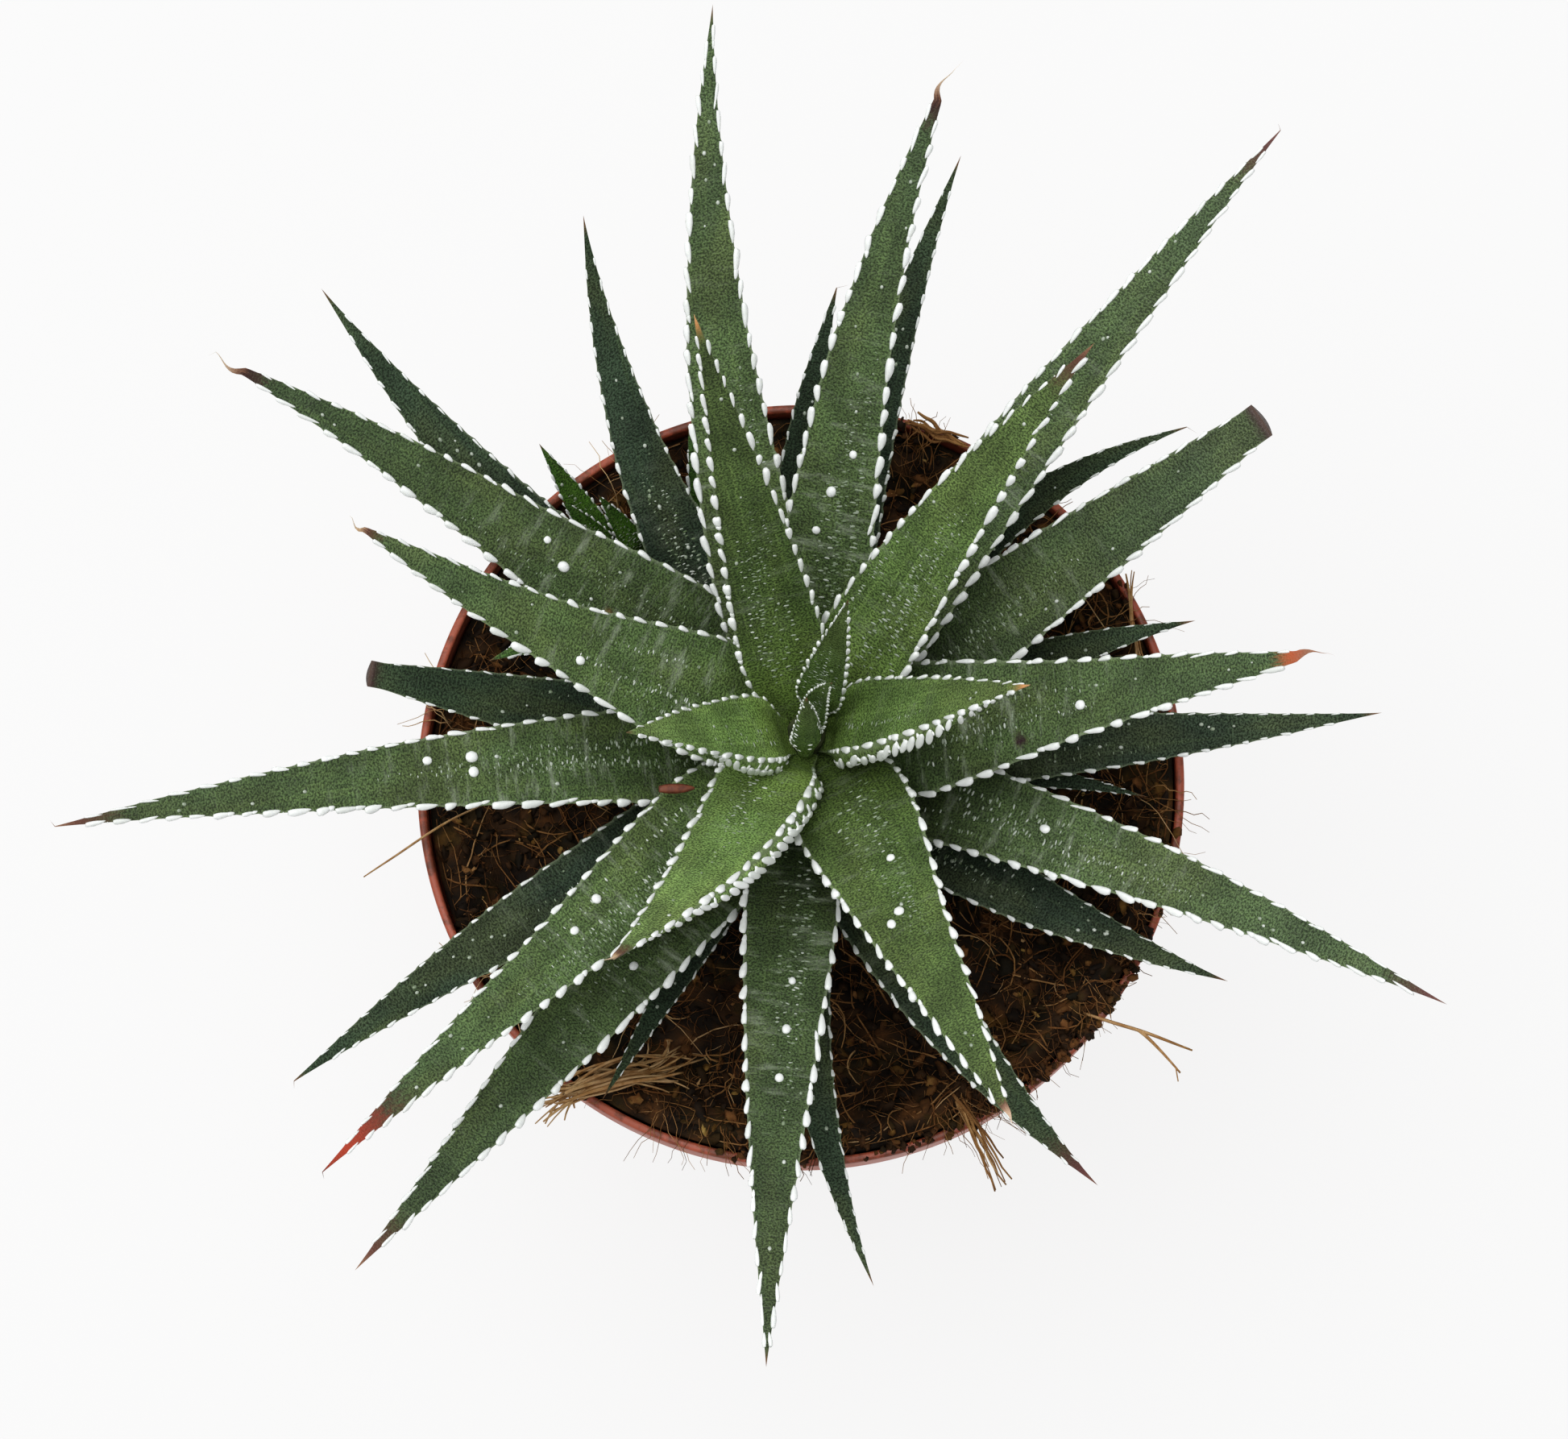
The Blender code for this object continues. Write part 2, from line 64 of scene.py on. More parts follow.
def makeMesh(name, points, faces, materials, faceMaterial=None, values=None, colours=None, uv=None):
    # values and colours are stored on the points, under their own names, for the materials to read
    mesh = bpy.data.meshes.new(name)
    mesh.from_pydata(np.asarray(points).tolist(), [], faces)
    for material in materials:
        mesh.materials.append(material)
    if faceMaterial is not None:
        mesh.polygons.foreach_set("material_index", np.asarray(faceMaterial, dtype=np.int32))
    mesh.polygons.foreach_set("use_smooth", np.ones(len(mesh.polygons), dtype=bool))
    for key, data in (values or {}).items():
        layer = mesh.attributes.new(key, "FLOAT", "POINT")
        layer.data.foreach_set("value", np.asarray(data, dtype=np.float32))
    for key, data in (colours or {}).items():
        layer = mesh.attributes.new(key, "FLOAT_COLOR", "POINT")
        layer.data.foreach_set("color", np.asarray(data, dtype=np.float32).ravel())
    if uv is not None:
        loopPoint = np.zeros(len(mesh.loops), dtype=np.int32)
        mesh.loops.foreach_get("vertex_index", loopPoint)
        layer = mesh.uv_layers.new(name="grain")
        layer.data.foreach_set("uv", np.asarray(uv, dtype=np.float32)[loopPoint].ravel())
    mesh.update()
    piece = bpy.data.objects.new(name, mesh)
    bpy.context.scene.collection.objects.link(piece)
    return piece


def ballTemplate(around, rings):
    # a unit ball whose poles are on X, so that it can be stretched along a leaf
    points = [(1.0, 0.0, 0.0)]
    for ring in range(1, rings):
        tilt = math.pi * ring / rings
        for step in range(around):
            turn = 2 * math.pi * step / around
            points.append((math.cos(tilt), math.sin(tilt) * math.cos(turn), math.sin(tilt) * math.sin(turn)))
    points.append((-1.0, 0.0, 0.0))
    faces = []
    for step in range(around):
        follow = (step + 1) % around
        faces.append((0, 1 + step, 1 + follow))
        for ring in range(rings - 2):
            near = 1 + ring * around
            far = near + around
            faces.append((near + step, far + step, far + follow, near + follow))
        last = 1 + (rings - 2) * around
        faces.append((last + step, len(points) - 1, last + follow))
    return np.array(points), faces


class Heap:
    # gathers many small closed shapes into one mesh
    def __init__(self):
        self.points = []
        self.faces = []
        self.kinds = []
        self.pale = []
        self.count = 0

    def add(self, points, faces, kind, pale):
        start = self.count
        self.points.append(points)
        self.faces.extend([tuple(corner + start for corner in face) for face in faces])
        self.kinds.extend([kind] * len(faces))
        self.pale.append(np.broadcast_to(pale, (len(points),)))
        self.count += len(points)

    def addBalls(self, template, centres, longWay, wideWay, upWay, sizes, kind, pale, rng, wobble=0.0):
        shape, faces = template
        for index in range(len(centres)):
            local = shape * (1 + wobble * rng.uniform(-1, 1, (len(shape), 1)))
            local = local * sizes[index]
            axes = np.stack((longWay[index], wideWay[index], upWay[index]))
            self.add(centres[index] + local @ axes, faces, kind, pale[index])


# materials

def newMaterial(name):
    material = bpy.data.materials.new(name)
    material.use_nodes = True
    tree = material.node_tree
    return material, tree, tree.nodes["Principled BSDF"]


def mathNode(tree, operation, first, second=None, clamp=False):
    node = tree.nodes.new("ShaderNodeMath")
    node.operation = operation
    node.use_clamp = clamp
    for socket, value in zip(node.inputs, (first, second)):
        if value is None:
            continue
        if isinstance(value, (int, float)):
            socket.default_value = value
        else:
            tree.links.new(value, socket)
    return node.outputs[0]


def mixColour(tree, factor, first, second, blend="MIX"):
    node = tree.nodes.new("ShaderNodeMix")
    node.data_type = "RGBA"
    node.blend_type = blend
    for socket, value in ((node.inputs[0], factor), (node.inputs[6], first), (node.inputs[7], second)):
        if isinstance(value, (int, float)):
            socket.default_value = value
        elif isinstance(value, tuple):
            socket.default_value = (*value, 1.0)
        else:
            tree.links.new(value, socket)
    return node.outputs[2]


def remap(tree, value, low, high, toLow=0.0, toHigh=1.0):
    node = tree.nodes.new("ShaderNodeMapRange")
    node.interpolation_type = "SMOOTHSTEP"
    tree.links.new(value, node.inputs[0])
    for socket, number in zip(node.inputs[1:5], (low, high, toLow, toHigh)):
        socket.default_value = number
    return node.outputs[0]


def attribute(tree, name):
    node = tree.nodes.new("ShaderNodeAttribute")
    node.attribute_name = name
    return node


def grainVector(tree, scale):
    # the piece's own running coordinates in millimetres, stretched by scale
    source = tree.nodes.new("ShaderNodeUVMap")
    source.uv_map = "grain"
    stretch = tree.nodes.new("ShaderNodeMapping")
    stretch.inputs["Scale"].default_value = scale
    tree.links.new(source.outputs[0], stretch.inputs[0])
    return stretch.outputs[0]


def objectVector(tree):
    return tree.nodes.new("ShaderNodeTexCoord").outputs["Object"]


def noiseNode(tree, vector, scale, detail=2.0, roughness=0.5):
    node = tree.nodes.new("ShaderNodeTexNoise")
    tree.links.new(vector, node.inputs["Vector"])
    node.inputs["Scale"].default_value = scale
    node.inputs["Detail"].default_value = detail
    node.inputs["Roughness"].default_value = roughness
    return node.outputs[0]


def bump(tree, shader, height, strength, distance):
    node = tree.nodes.new("ShaderNodeBump")
    node.inputs["Strength"].default_value = strength
    node.inputs["Distance"].default_value = distance
    tree.links.new(height, node.inputs["Height"])
    tree.links.new(node.outputs[0], shader.inputs["Normal"])


leafSkins = {
    # foot, middle and end colours of the blade, haze on it, strength of the pale stripes, and shine
    "young_leaf": {"foot": (0.122, 0.188, 0.048), "middle": (0.090, 0.142, 0.045),
                   "end": (0.088, 0.130, 0.044), "haze": 0.26, "stripes": 0.26, "shine": 0.30},
    "grown_leaf": {"foot": (0.070, 0.110, 0.037), "middle": (0.066, 0.102, 0.039),
                   "end": (0.058, 0.090, 0.040), "haze": 0.72, "stripes": 0.10, "shine": 0.28},
    "old_leaf": {"foot": (0.014, 0.026, 0.014), "middle": (0.025, 0.040, 0.025),
                 "end": (0.032, 0.052, 0.029), "haze": 0.24, "stripes": 0.04, "shine": 0.16},
    "offset_leaf": {"foot": (0.080, 0.160, 0.026), "middle": (0.066, 0.150, 0.022),
                    "end": (0.050, 0.110, 0.024), "haze": 0.12, "stripes": 0.25, "shine": 0.30},
}


def leafMaterial(name, look):
    material, tree, shader = newMaterial(name + "Skin")
    along = attribute(tree, "along").outputs["Fac"]
    across = attribute(tree, "across").outputs["Fac"]
    tone = attribute(tree, "tone").outputs["Fac"]
    paint = attribute(tree, "paint")
    colour = mixColour(tree, remap(tree, along, 0.05, 0.34), look["foot"], look["middle"])
    colour = mixColour(tree, remap(tree, along, 0.45, 0.95), colour, look["end"])
    # pale stripes that run along the leaf
    stripe = remap(tree, noiseNode(tree, grainVector(tree, (1, 0.035, 1)), 1.6, 2.0), 0.5, 0.72)
    colour = mixColour(tree, mathNode(tree, "MULTIPLY", stripe, look["stripes"]), colour, (0.22, 0.32, 0.10))
    # clouds of lighter and darker green, some of them more yellow, and the fine speckle of the skin's cells
    yellow = remap(tree, noiseNode(tree, grainVector(tree, (0.8, 0.3, 1)), 0.21, 3.0), 0.42, 0.68, 0.0, 0.20)
    colour = mixColour(tree, yellow, colour, (0.105, 0.112, 0.036))
    patchy = noiseNode(tree, grainVector(tree, (1, 0.55, 1)), 0.26, 3.0, 0.55)
    cloud = remap(tree, patchy, 0.34, 0.66, 0.80, 1.20)
    speckle = noiseNode(tree, grainVector(tree, (1, 1, 1)), 4.0, 1.0, 0.6)
    cells = remap(tree, speckle, 0.32, 0.68, 0.44, 1.70)
    # tone makes each leaf lighter or darker and carries the shade painted onto its foot, a painted lighter
    # foot on a few leaves
    depth = mathNode(tree, "MULTIPLY", mathNode(tree, "MULTIPLY", cloud, cells), tone)
    colour = mixColour(tree, 1.0, colour, depth, "MULTIPLY")
    # a thin pale line on the margins
    colour = mixColour(tree, remap(tree, across, 0.90, 1.0, 0.0, 0.42), colour, (0.26, 0.31, 0.20))
    # whitish haze in cross-wise smears on the foot half
    smear = noiseNode(tree, grainVector(tree, (0.26, 0.9, 1)), 0.7, 5.0, 0.66)
    smear = remap(tree, smear, 0.49, 0.78)
    footHalf = remap(tree, along, 0.34, 0.72, 1.0, 0.10)
    haze = mathNode(tree, "MULTIPLY", mathNode(tree, "MULTIPLY", smear, footHalf), look["haze"])
    colour = mixColour(tree, haze, colour, (0.33, 0.37, 0.29))
    colour = mixColour(tree, paint.outputs["Alpha"], colour, paint.outputs["Color"])
    tree.links.new(colour, shader.inputs["Base Color"])
    tree.links.new(remap(tree, cells, 0.5, 1.6, 0.62, 0.42), shader.inputs["Roughness"])
    shader.inputs["Specular IOR Level"].default_value = look["shine"]
    bump(tree, shader, speckle, 0.55, 0.0002)
    return material


def tubercleMaterial():
    material, tree, shader = newMaterial("tubercleWhite")
    pale = attribute(tree, "pale").outputs["Fac"]
    place = grainVector(tree, (1, 1, 1))
    colour = mixColour(tree, remap(tree, pale, 0.0, 1.0), (0.105, 0.165, 0.060), (0.80, 0.82, 0.81))
    cloud = remap(tree, noiseNode(tree, place, 1.7, 3.0), 0.35, 0.7)
    colour = mixColour(tree, mathNode(tree, "MULTIPLY", cloud, 0.22), colour, (0.52, 0.55, 0.52))
    tree.links.new(colour, shader.inputs["Base Color"])
    tree.links.new(remap(tree, cloud, 0.0, 1.0, 0.34, 0.5), shader.inputs["Roughness"])
    shader.inputs["Specular IOR Level"].default_value = 0.45
    shader.inputs["Subsurface Weight"].default_value = 0.12
    shader.inputs["Subsurface Radius"].default_value = (0.0006, 0.0006, 0.0005)
    bump(tree, shader, noiseNode(tree, place, 2.6, 3.0), 0.4, 0.0001)
    return material


skinMaterials = {slot: leafMaterial(slot, look) for slot, look in leafSkins.items()}
whiteMaterial = tubercleMaterial()
print("leaf materials ready")


# reading a leaf's cross-sections from the frame

upperPlaces = {0: 1.0, 1: 0.5, 2: 0.0, 3: -0.5, 4: -1.0}
underPlaces = {0: 1.0, 7: 0.62, 6: 0.0, 5: -0.62, 4: -1.0}
sliceShares = (0.05, 0.1, 0.16, 0.25, 0.35, 0.45, 0.55, 0.65, 0.75, 0.85, 0.92, 0.965)


def weldedNode(name):
    shape = bmesh.new()
    shape.from_mesh(nodes[name].data)
    bmesh.ops.remove_doubles(shape, verts=shape.verts, dist=0.004 * mm)
    points = np.array([tuple(point.co) for point in shape.verts])
    shape.verts.index_update()
    edges = np.array([(edge.verts[0].index, edge.verts[1].index) for edge in shape.edges])
    shape.free()
    return points, edges


def cutAcross(points, edges, foot, way, distance):
    # where the leaf's edges go through a plane square to way
    height = (points - foot) @ way - distance
    low = height[edges[:, 0]]
    high = height[edges[:, 1]]
    crossed = (low < 0) != (high < 0)
    part = (low / np.where(crossed, low - high, 1.0))[crossed][:, None]
    return points[edges[crossed, 0]] * (1 - part) + points[edges[crossed, 1]] * part


def outlineAt(section, places):
    # upper and lower edge of a flat section (x, height) at the wanted x places, from its convex outline
    order = section[np.argsort(section[:, 0])]
    x = order[:, 0]
    lower = []
    upper = []
    for place in places:
        best = [-1e9, 1e9]
        for i in range(len(order)):
            for j in range(i + 1, len(order)):
                if x[i] - 1e-9 <= place <= x[j] + 1e-9 and x[j] - x[i] > 1e-7:
                    part = (place - x[i]) / (x[j] - x[i])
                    height = order[i, 1] * (1 - part) + order[j, 1] * part
                    best = [max(best[0], height), min(best[1], height)]
        upper.append(best[0])
        lower.append(best[1])
    return upper, lower


def readRows(name):
    points, edges = weldedNode(name)
    highest = points[np.argmax(points[:, 2])]
    lowest = points[np.argmin(points[:, 2])]
    pointed = name not in cutLeaves
    end = highest
    if not pointed:
        along = points @ unit(highest - lowest)
        end = points[np.argsort(-along)[:8]].mean(axis=0)
    along = points @ unit(end - lowest)
    foot = points[np.argsort(along)[:8]].mean(axis=0)
    way = unit(end - foot)
    length = np.linalg.norm(end - foot)
    upward = np.array((0.0, 0.0, 1.0)) - way * way[2]
    if way[2] > 0.97:
        upward = crown - foot
        upward = upward - way * (upward @ way)
    upward = unit(upward)
    # the widest way across the middle of the leaf is its own sideways
    section = cutAcross(points, edges, foot, way, 0.4 * length)
    gaps = np.linalg.norm(section[:, None] - section[None], axis=2)
    first, second = np.unravel_index(np.argmax(gaps), gaps.shape)
    sideways = unit(section[first] - section[second])
    sideways = sideways if sideways @ np.cross(upward, way) > 0 else -sideways
    sideways = unit(sideways - way * (sideways @ way))
    upward = np.cross(way, sideways)
    rows = []
    places = []
    for share in sliceShares:
        section = cutAcross(points, edges, foot, way, share * length)
        flat = np.stack(((section - foot) @ sideways, (section - foot) @ upward), axis=1)
        left = flat[:, 0].max()
        right = flat[:, 0].min()
        middle = (left + right) / 2
        half = (left - right) / 2
        row = np.zeros((8, 2))
        inner = 0.999
        upper, lower = outlineAt(flat, [middle + half * inner * place for place in upperPlaces.values()])
        for point, height, low in zip(upperPlaces, upper, lower):
            edge = (height + low) / 2 if point in (0, 4) else height
            row[point] = (middle + half * upperPlaces[point], edge)
        upper, lower = outlineAt(flat, [middle + half * underPlaces[point] for point in (5, 6, 7)])
        for point, height in zip((5, 6, 7), lower):
            row[point] = (middle + half * underPlaces[point], height)
        rows.append(foot + way * share * length + row[:, :1] * sideways + row[:, 1:] * upward)
        places.append(share * length)
    # the foot goes on a little way into the stem, narrower than the first slice
    first = rows[0]
    middle = first.mean(axis=0)
    start = foot - way * leafShape["footDepth"]
    rows.insert(0, start + (first - middle) * 0.8)
    places.insert(0, -leafShape["footDepth"])
    last = rows[-1] + way * (length - places[-1])
    rows.append(np.repeat(end[None, :], 8, axis=0) if pointed else last)
    places.append(length)
    places = np.array(places) + leafShape["footDepth"]
    return places, np.array(rows), pointed


def smoothRows(places, rows, wanted):
    # a smooth curve through the rows, one value for every wanted place
    slopes = np.zeros_like(rows)
    gaps = np.diff(places)[:, None, None]
    steps = np.diff(rows, axis=0) / gaps
    slopes[1:-1] = (steps[:-1] * gaps[1:] + steps[1:] * gaps[:-1]) / (gaps[1:] + gaps[:-1])
    slopes[0] = steps[0]
    slopes[-1] = steps[-1]
    index = np.clip(np.searchsorted(places, wanted, side="right") - 1, 0, len(places) - 2)
    span = (places[index + 1] - places[index])[:, None, None]
    t = ((wanted - places[index]) / (places[index + 1] - places[index]))[:, None, None]
    return (
        rows[index] * (2 * t ** 3 - 3 * t ** 2 + 1) + slopes[index] * span * (t ** 3 - 2 * t ** 2 + t)
        + rows[index + 1] * (3 * t ** 2 - 2 * t ** 3) + slopes[index + 1] * span * (t ** 3 - t ** 2)
    )


def sectionWeights(across, under):
    # how much each of the section's eight points counts at a place across the leaf, from -1 to 1
    across = np.atleast_1d(across)
    places = underPlaces if under else upperPlaces
    weights = np.zeros((len(across), 8))
    for point, place in places.items():
        term = np.ones(len(across))
        for other, otherPlace in places.items():
            if other != point:
                term = term * (across - otherPlace) / (place - otherPlace)
        weights[:, point] = term
    return weights


leafShape = {
    "step": 0.5 * mm,  # distance between cross-sections
    "upperPoints": 19,
    "underPoints": 11,
    "fleshiness": 0.30,  # thickness over width
    "footDepth": 1.5 * mm,
}
cutLeaves = ("middle_leaf_8", "outer_leaf_11")
crown = weldedNode("inner_leaf_1")[0]
crown = crown[np.argsort(crown[:, 2])[:8]].mean(axis=0)
crown = (crown + np.array(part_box("inner_leaf_3")[0])) / 2


class Blade:
    # one leaf's smooth shape, from foot to point
    def __init__(self, name, traits):
        places, rows, self.pointed = readRows(name)
        self.length = places[-1]
        self.count = max(40, int(self.length / leafShape["step"]))
        self.places = np.linspace(0, self.length, self.count)
        self.share = self.places / self.length
        self.rows = smoothRows(places, rows, self.places)
        widths = np.linalg.norm(self.rows[:, 0] - self.rows[:, 4], axis=1)
        self.width = widths.max()
        self.thicken()
        self.settle(traits)

    def thicken(self):
        # a fleshy foot: the underside goes down where the frame's leaf is thin
        upper = self.rows[:, 2]
        keel = self.rows[:, 6]
        down = unit(keel - upper)
        thickness = np.linalg.norm(keel - upper, axis=1)
        wanted = leafShape["fleshiness"] * self.width * (1 - self.share ** 2) ** 0.7
        wanted = wanted * (0.75 + 0.25 * smoothStep(0.0, 0.2, self.share))
        extra = np.maximum(wanted - thickness, 0.0)[:, None] * down
        self.rows[:, 6] += extra
        self.rows[:, 5] += extra * 0.72
        self.rows[:, 7] += extra * 0.72

    def settle(self, traits):
        # a wider foot, an end that swings aside and an underside that rolls out
        leftward = unit(self.rows[:, 0] - self.rows[:, 4])
        left, right = traits.get("foot", (0.0, 0.0))
        near = 1 - smoothStep(0.14, 0.56, self.share)
        aside = traits.get("swing", 0.0) * smoothStep(0.1, 0.8, self.share)
        for point, place in {**underPlaces, **upperPlaces}.items():
            wider = near * (left * (1 + place) / 2 - right * (1 - place) / 2)
            self.rows[:, point] += leftward * ((wider + aside) * mm)[:, None]
        self.rollSide, roll, reach = traits.get("roll", (0, 0.0, 1.0))
        if self.rollSide:
            out = roll * smoothStep(0.0, 0.12, self.share) * (1 - smoothStep(reach * 0.5, reach, self.share))
            out = leftward * (out * self.rollSide * mm)[:, None]
            self.rows[:, 7 if self.rollSide > 0 else 5] += out
            self.rows[:, 6] += out * 0.4

    def controls(self, place):
        index = np.clip(place / self.length * (self.count - 1), 0, self.count - 1.001)
        low = index.astype(int)
        part = (index - low)[:, None, None]
        return self.rows[low] * (1 - part) + self.rows[low + 1] * part

    def at(self, place, across, under=False):
        # points on the skin with the ways along, across and out of it
        place = np.atleast_1d(np.asarray(place, dtype=float))
        across = np.atleast_1d(np.asarray(across, dtype=float))
        weights = sectionWeights(across, under)
        point = np.einsum("nk,nkc->nc", weights, self.controls(place))
        ahead = np.einsum("nk,nkc->nc", weights, self.controls(place + 0.4 * mm))
        behind = np.einsum("nk,nkc->nc", weights, self.controls(place - 0.4 * mm))
        step = 0.04
        aside = np.einsum("nk,nkc->nc", sectionWeights(across + step, under), self.controls(place))
        other = np.einsum("nk,nkc->nc", sectionWeights(across - step, under), self.controls(place))
        along = unit(ahead - behind)
        sideways = unit(aside - other)
        out = unit(np.cross(along, sideways))
        if under:
            out = -out
        # along x sideways points up for the upper face only when sideways is the left-hand side
        sideways = unit(np.cross(out, along))
        return point, along, sideways, out


# ends of leaves: distance back from the end in millimetres, colour, strength
leafEnds = {
    "plain": ((0, (0.20, 0.10, 0.05), 1.0), (1.0, (0.16, 0.08, 0.04), 0.8), (2.4, (0.08, 0.07, 0.03), 0.0)),
    "tan": ((0, (0.62, 0.40, 0.20), 1.0), (1.6, (0.62, 0.30, 0.12), 1.0), (3.2, (0.24, 0.20, 0.07), 0.6),
            (5.0, (0.15, 0.20, 0.05), 0.0)),
    "purple": ((0, (0.20, 0.10, 0.07), 1.0), (2.5, (0.12, 0.045, 0.045), 0.95),
               (5.5, (0.09, 0.045, 0.035), 0.7), (9.0, (0.05, 0.05, 0.03), 0.0)),
    "red": ((0, (0.05, 0.025, 0.02), 1.0), (1.5, (0.30, 0.05, 0.025), 1.0), (5.0, (0.38, 0.055, 0.028), 1.0),
            (9.0, (0.22, 0.045, 0.03), 0.9), (12.5, (0.07, 0.04, 0.03), 0.6),
            (16.0, (0.05, 0.05, 0.03), 0.0)),
    "brown": ((0, (0.30, 0.17, 0.10), 1.0), (3.0, (0.13, 0.055, 0.04), 1.0), (6.5, (0.10, 0.05, 0.035), 0.6),
              (9.5, (0.05, 0.05, 0.03), 0.0)),
    "dry": ((0, (0.66, 0.58, 0.46), 1.0), (2.4, (0.50, 0.38, 0.27), 1.0), (3.9, (0.20, 0.10, 0.06), 1.0),
            (5.0, (0.035, 0.015, 0.015), 1.0), (6.4, (0.06, 0.03, 0.025), 0.8),
            (8.5, (0.05, 0.05, 0.03), 0.0)),
    "awn": ((0, (0.66, 0.56, 0.42), 1.0), (2.2, (0.50, 0.34, 0.20), 1.0), (2.9, (0.12, 0.05, 0.04), 1.0),
            (4.2, (0.12, 0.06, 0.035), 0.7), (6.0, (0.05, 0.05, 0.03), 0.0)),
    "thread": ((0, (0.42, 0.24, 0.15), 1.0), (3.5, (0.28, 0.13, 0.08), 1.0), (5.0, (0.42, 0.10, 0.04), 1.0),
               (6.2, (0.34, 0.12, 0.05), 0.8), (7.6, (0.10, 0.10, 0.04), 0.0)),
    "stub": ((0, (0.70, 0.62, 0.50), 1.0), (2.2, (0.52, 0.36, 0.25), 1.0), (3.4, (0.20, 0.10, 0.07), 1.0),
             (4.6, (0.10, 0.07, 0.04), 0.0)),
    "cut": ((0, (0.11, 0.075, 0.06), 1.0), (0.4, (0.06, 0.035, 0.032), 1.0), (0.9, (0.05, 0.04, 0.03), 0.7),
            (1.7, (0.05, 0.05, 0.03), 0.0)),
}
dryLength = {"dry": 4.6, "awn": 2.6, "thread": 4.6, "stub": 3.2}  # millimetres that have shrivelled
dryCurl = {"dry": 1.0, "awn": 0.8, "thread": 0.7, "stub": 0.25}
dryThin = {"dry": 0.55, "awn": 0.60, "thread": 0.80, "stub": 0.40}

# what differs from leaf to leaf: its end, its tone (how light it is), the shade painted onto its foot (darker
# below
# 1, a painted lighter foot above 1), its share of the usual ticks, the big beads (share along, place across,
# size), scars, millimetres that the foot is wider on its left and right, millimetres that the end swings to
# the left, and where the underside rolls out into sight (side, millimetres, up to which share of the leaf)
leafTraits = {
    "inner_leaf_4": {"end": "plain", "tone": 1.65, "ticks": 0.25, "roll": (1, 2.0, 0.6)},
    "inner_leaf_5": {"end": "tan", "tone": 1.12, "ticks": 0.35, "roll": (-1, 2.3, 0.9)},
    "inner_leaf_6": {"end": "awn", "footShade": 0.85, "tone": 1.42, "roll": (1, 2.3, 0.9)},
    "inner_leaf_7": {"end": "stub", "footShade": 0.55, "tone": 0.85, "foot": (1.8, 0.4),
                     "beads": ((0.45, -0.05, 1.0), (0.33, 0.25, 0.8), (0.47, -0.35, 1.0))},
    "inner_leaf_8": {"end": "tan", "footShade": 1.45, "tone": 0.70},
    "inner_leaf_9": {"end": "brown"},
    "middle_leaf_1": {"end": "awn", "footShade": 1.1, "tone": 1.15, "foot": (1.3, 2.2),
                      "beads": ((0.47, 0.40, 1.0),)},
    "middle_leaf_2": {"end": "thread", "footShade": 0.6, "tone": 0.9, "foot": (1.6, 2.0), "swing": 1.0,
                      "beads": ((0.52, -0.2, 1.0),), "spots": ((0.40, -0.62, (0.035, 0.015, 0.02)),)},
    "middle_leaf_3": {"footShade": 0.8, "end": "dry", "swing": 0.9,
                      "beads": ((0.36, 0.1, 1.0), (0.42, -0.3, 0.8), (0.30, 0.3, 0.8))},
    "middle_leaf_4": {"end": "red", "footShade": 0.9, "tone": 1.12, "foot": (0.0, 1.6), "swing": -0.7,
                      "beads": ((0.40, -0.4, 1.0), (0.46, -0.2, 0.9))},
    "middle_leaf_5": {"end": "plain", "footShade": 0.42, "tone": 0.8,
                      "beads": ((0.46, 0.1, 1.0), (0.38, 0.15, 0.8), (0.54, 0.0, 0.9))},
    "middle_leaf_6": {"end": "plain", "footShade": 0.8, "tone": 0.95,
                      "beads": ((0.50, 0.1, 1.0), (0.42, -0.2, 0.9))},
    "middle_leaf_7": {"footShade": 0.8, "end": "purple", "swing": -0.8},
    "middle_leaf_8": {"footShade": 0.7, "tone": 0.84, "end": "cut"},
    "middle_leaf_9": {"footShade": 0.65, "end": "brown", "swing": 0.8,
                      "beads": ((0.44, 0.1, 1.0), (0.44, -0.3, 1.1), (0.50, -0.35, 0.9))},
    "middle_leaf_10": {"end": "dry", "footShade": 0.75, "tone": 0.86, "foot": (0.0, 3.0), "swing": -1.0,
                       "beads": ((0.42, 0.05, 1.1), (0.46, -0.3, 0.7)),
                       "spots": ((0.33, 0.45, (0.30, 0.14, 0.06)),)},
    "middle_leaf_11": {"end": "brown", "footShade": 0.7, "tone": 0.86, "beads": ((0.40, 0.2, 0.9),)},
    "middle_leaf_12": {"footShade": 0.30, "end": "purple", "beads": ((0.36, 0.1, 1.0),)},
    "outer_leaf_1": {"swing": -0.7},
    "outer_leaf_4": {"end": "purple"},
    "outer_leaf_7": {"swing": 1.2},
    "outer_leaf_10": {"swing": 1.4},
    "outer_leaf_11": {"end": "cut"},
}

skinRelief = {
    "teethGrown": {"first": 0.055, "last": 0.94, "gap": (1.45, 3.0), "length": 0.84, "width": 0.67},
    "teethOld": {"first": 0.08, "last": 0.92, "gap": (1.8, 2.9), "length": 0.50, "width": 0.42},
    "fullWidth": 11 * mm,  # a leaf this wide has teeth and ticks of full size
    "serration": 0.30 * mm,
    "lean": 7,  # degrees that a tooth's far end stands out
    "tickLines": (5, 9),  # lines of pale ticks along a leaf, fewest and most
    "tickGap": 0.62 * mm,
    "bandGap": 2.5 * mm,
    "barGap": 1.7 * mm,
    "dots": {"grown": (5, 0.30, 0.85), "old": (14, 0.22, 0.75)},  # how many, and where they start and stop
}


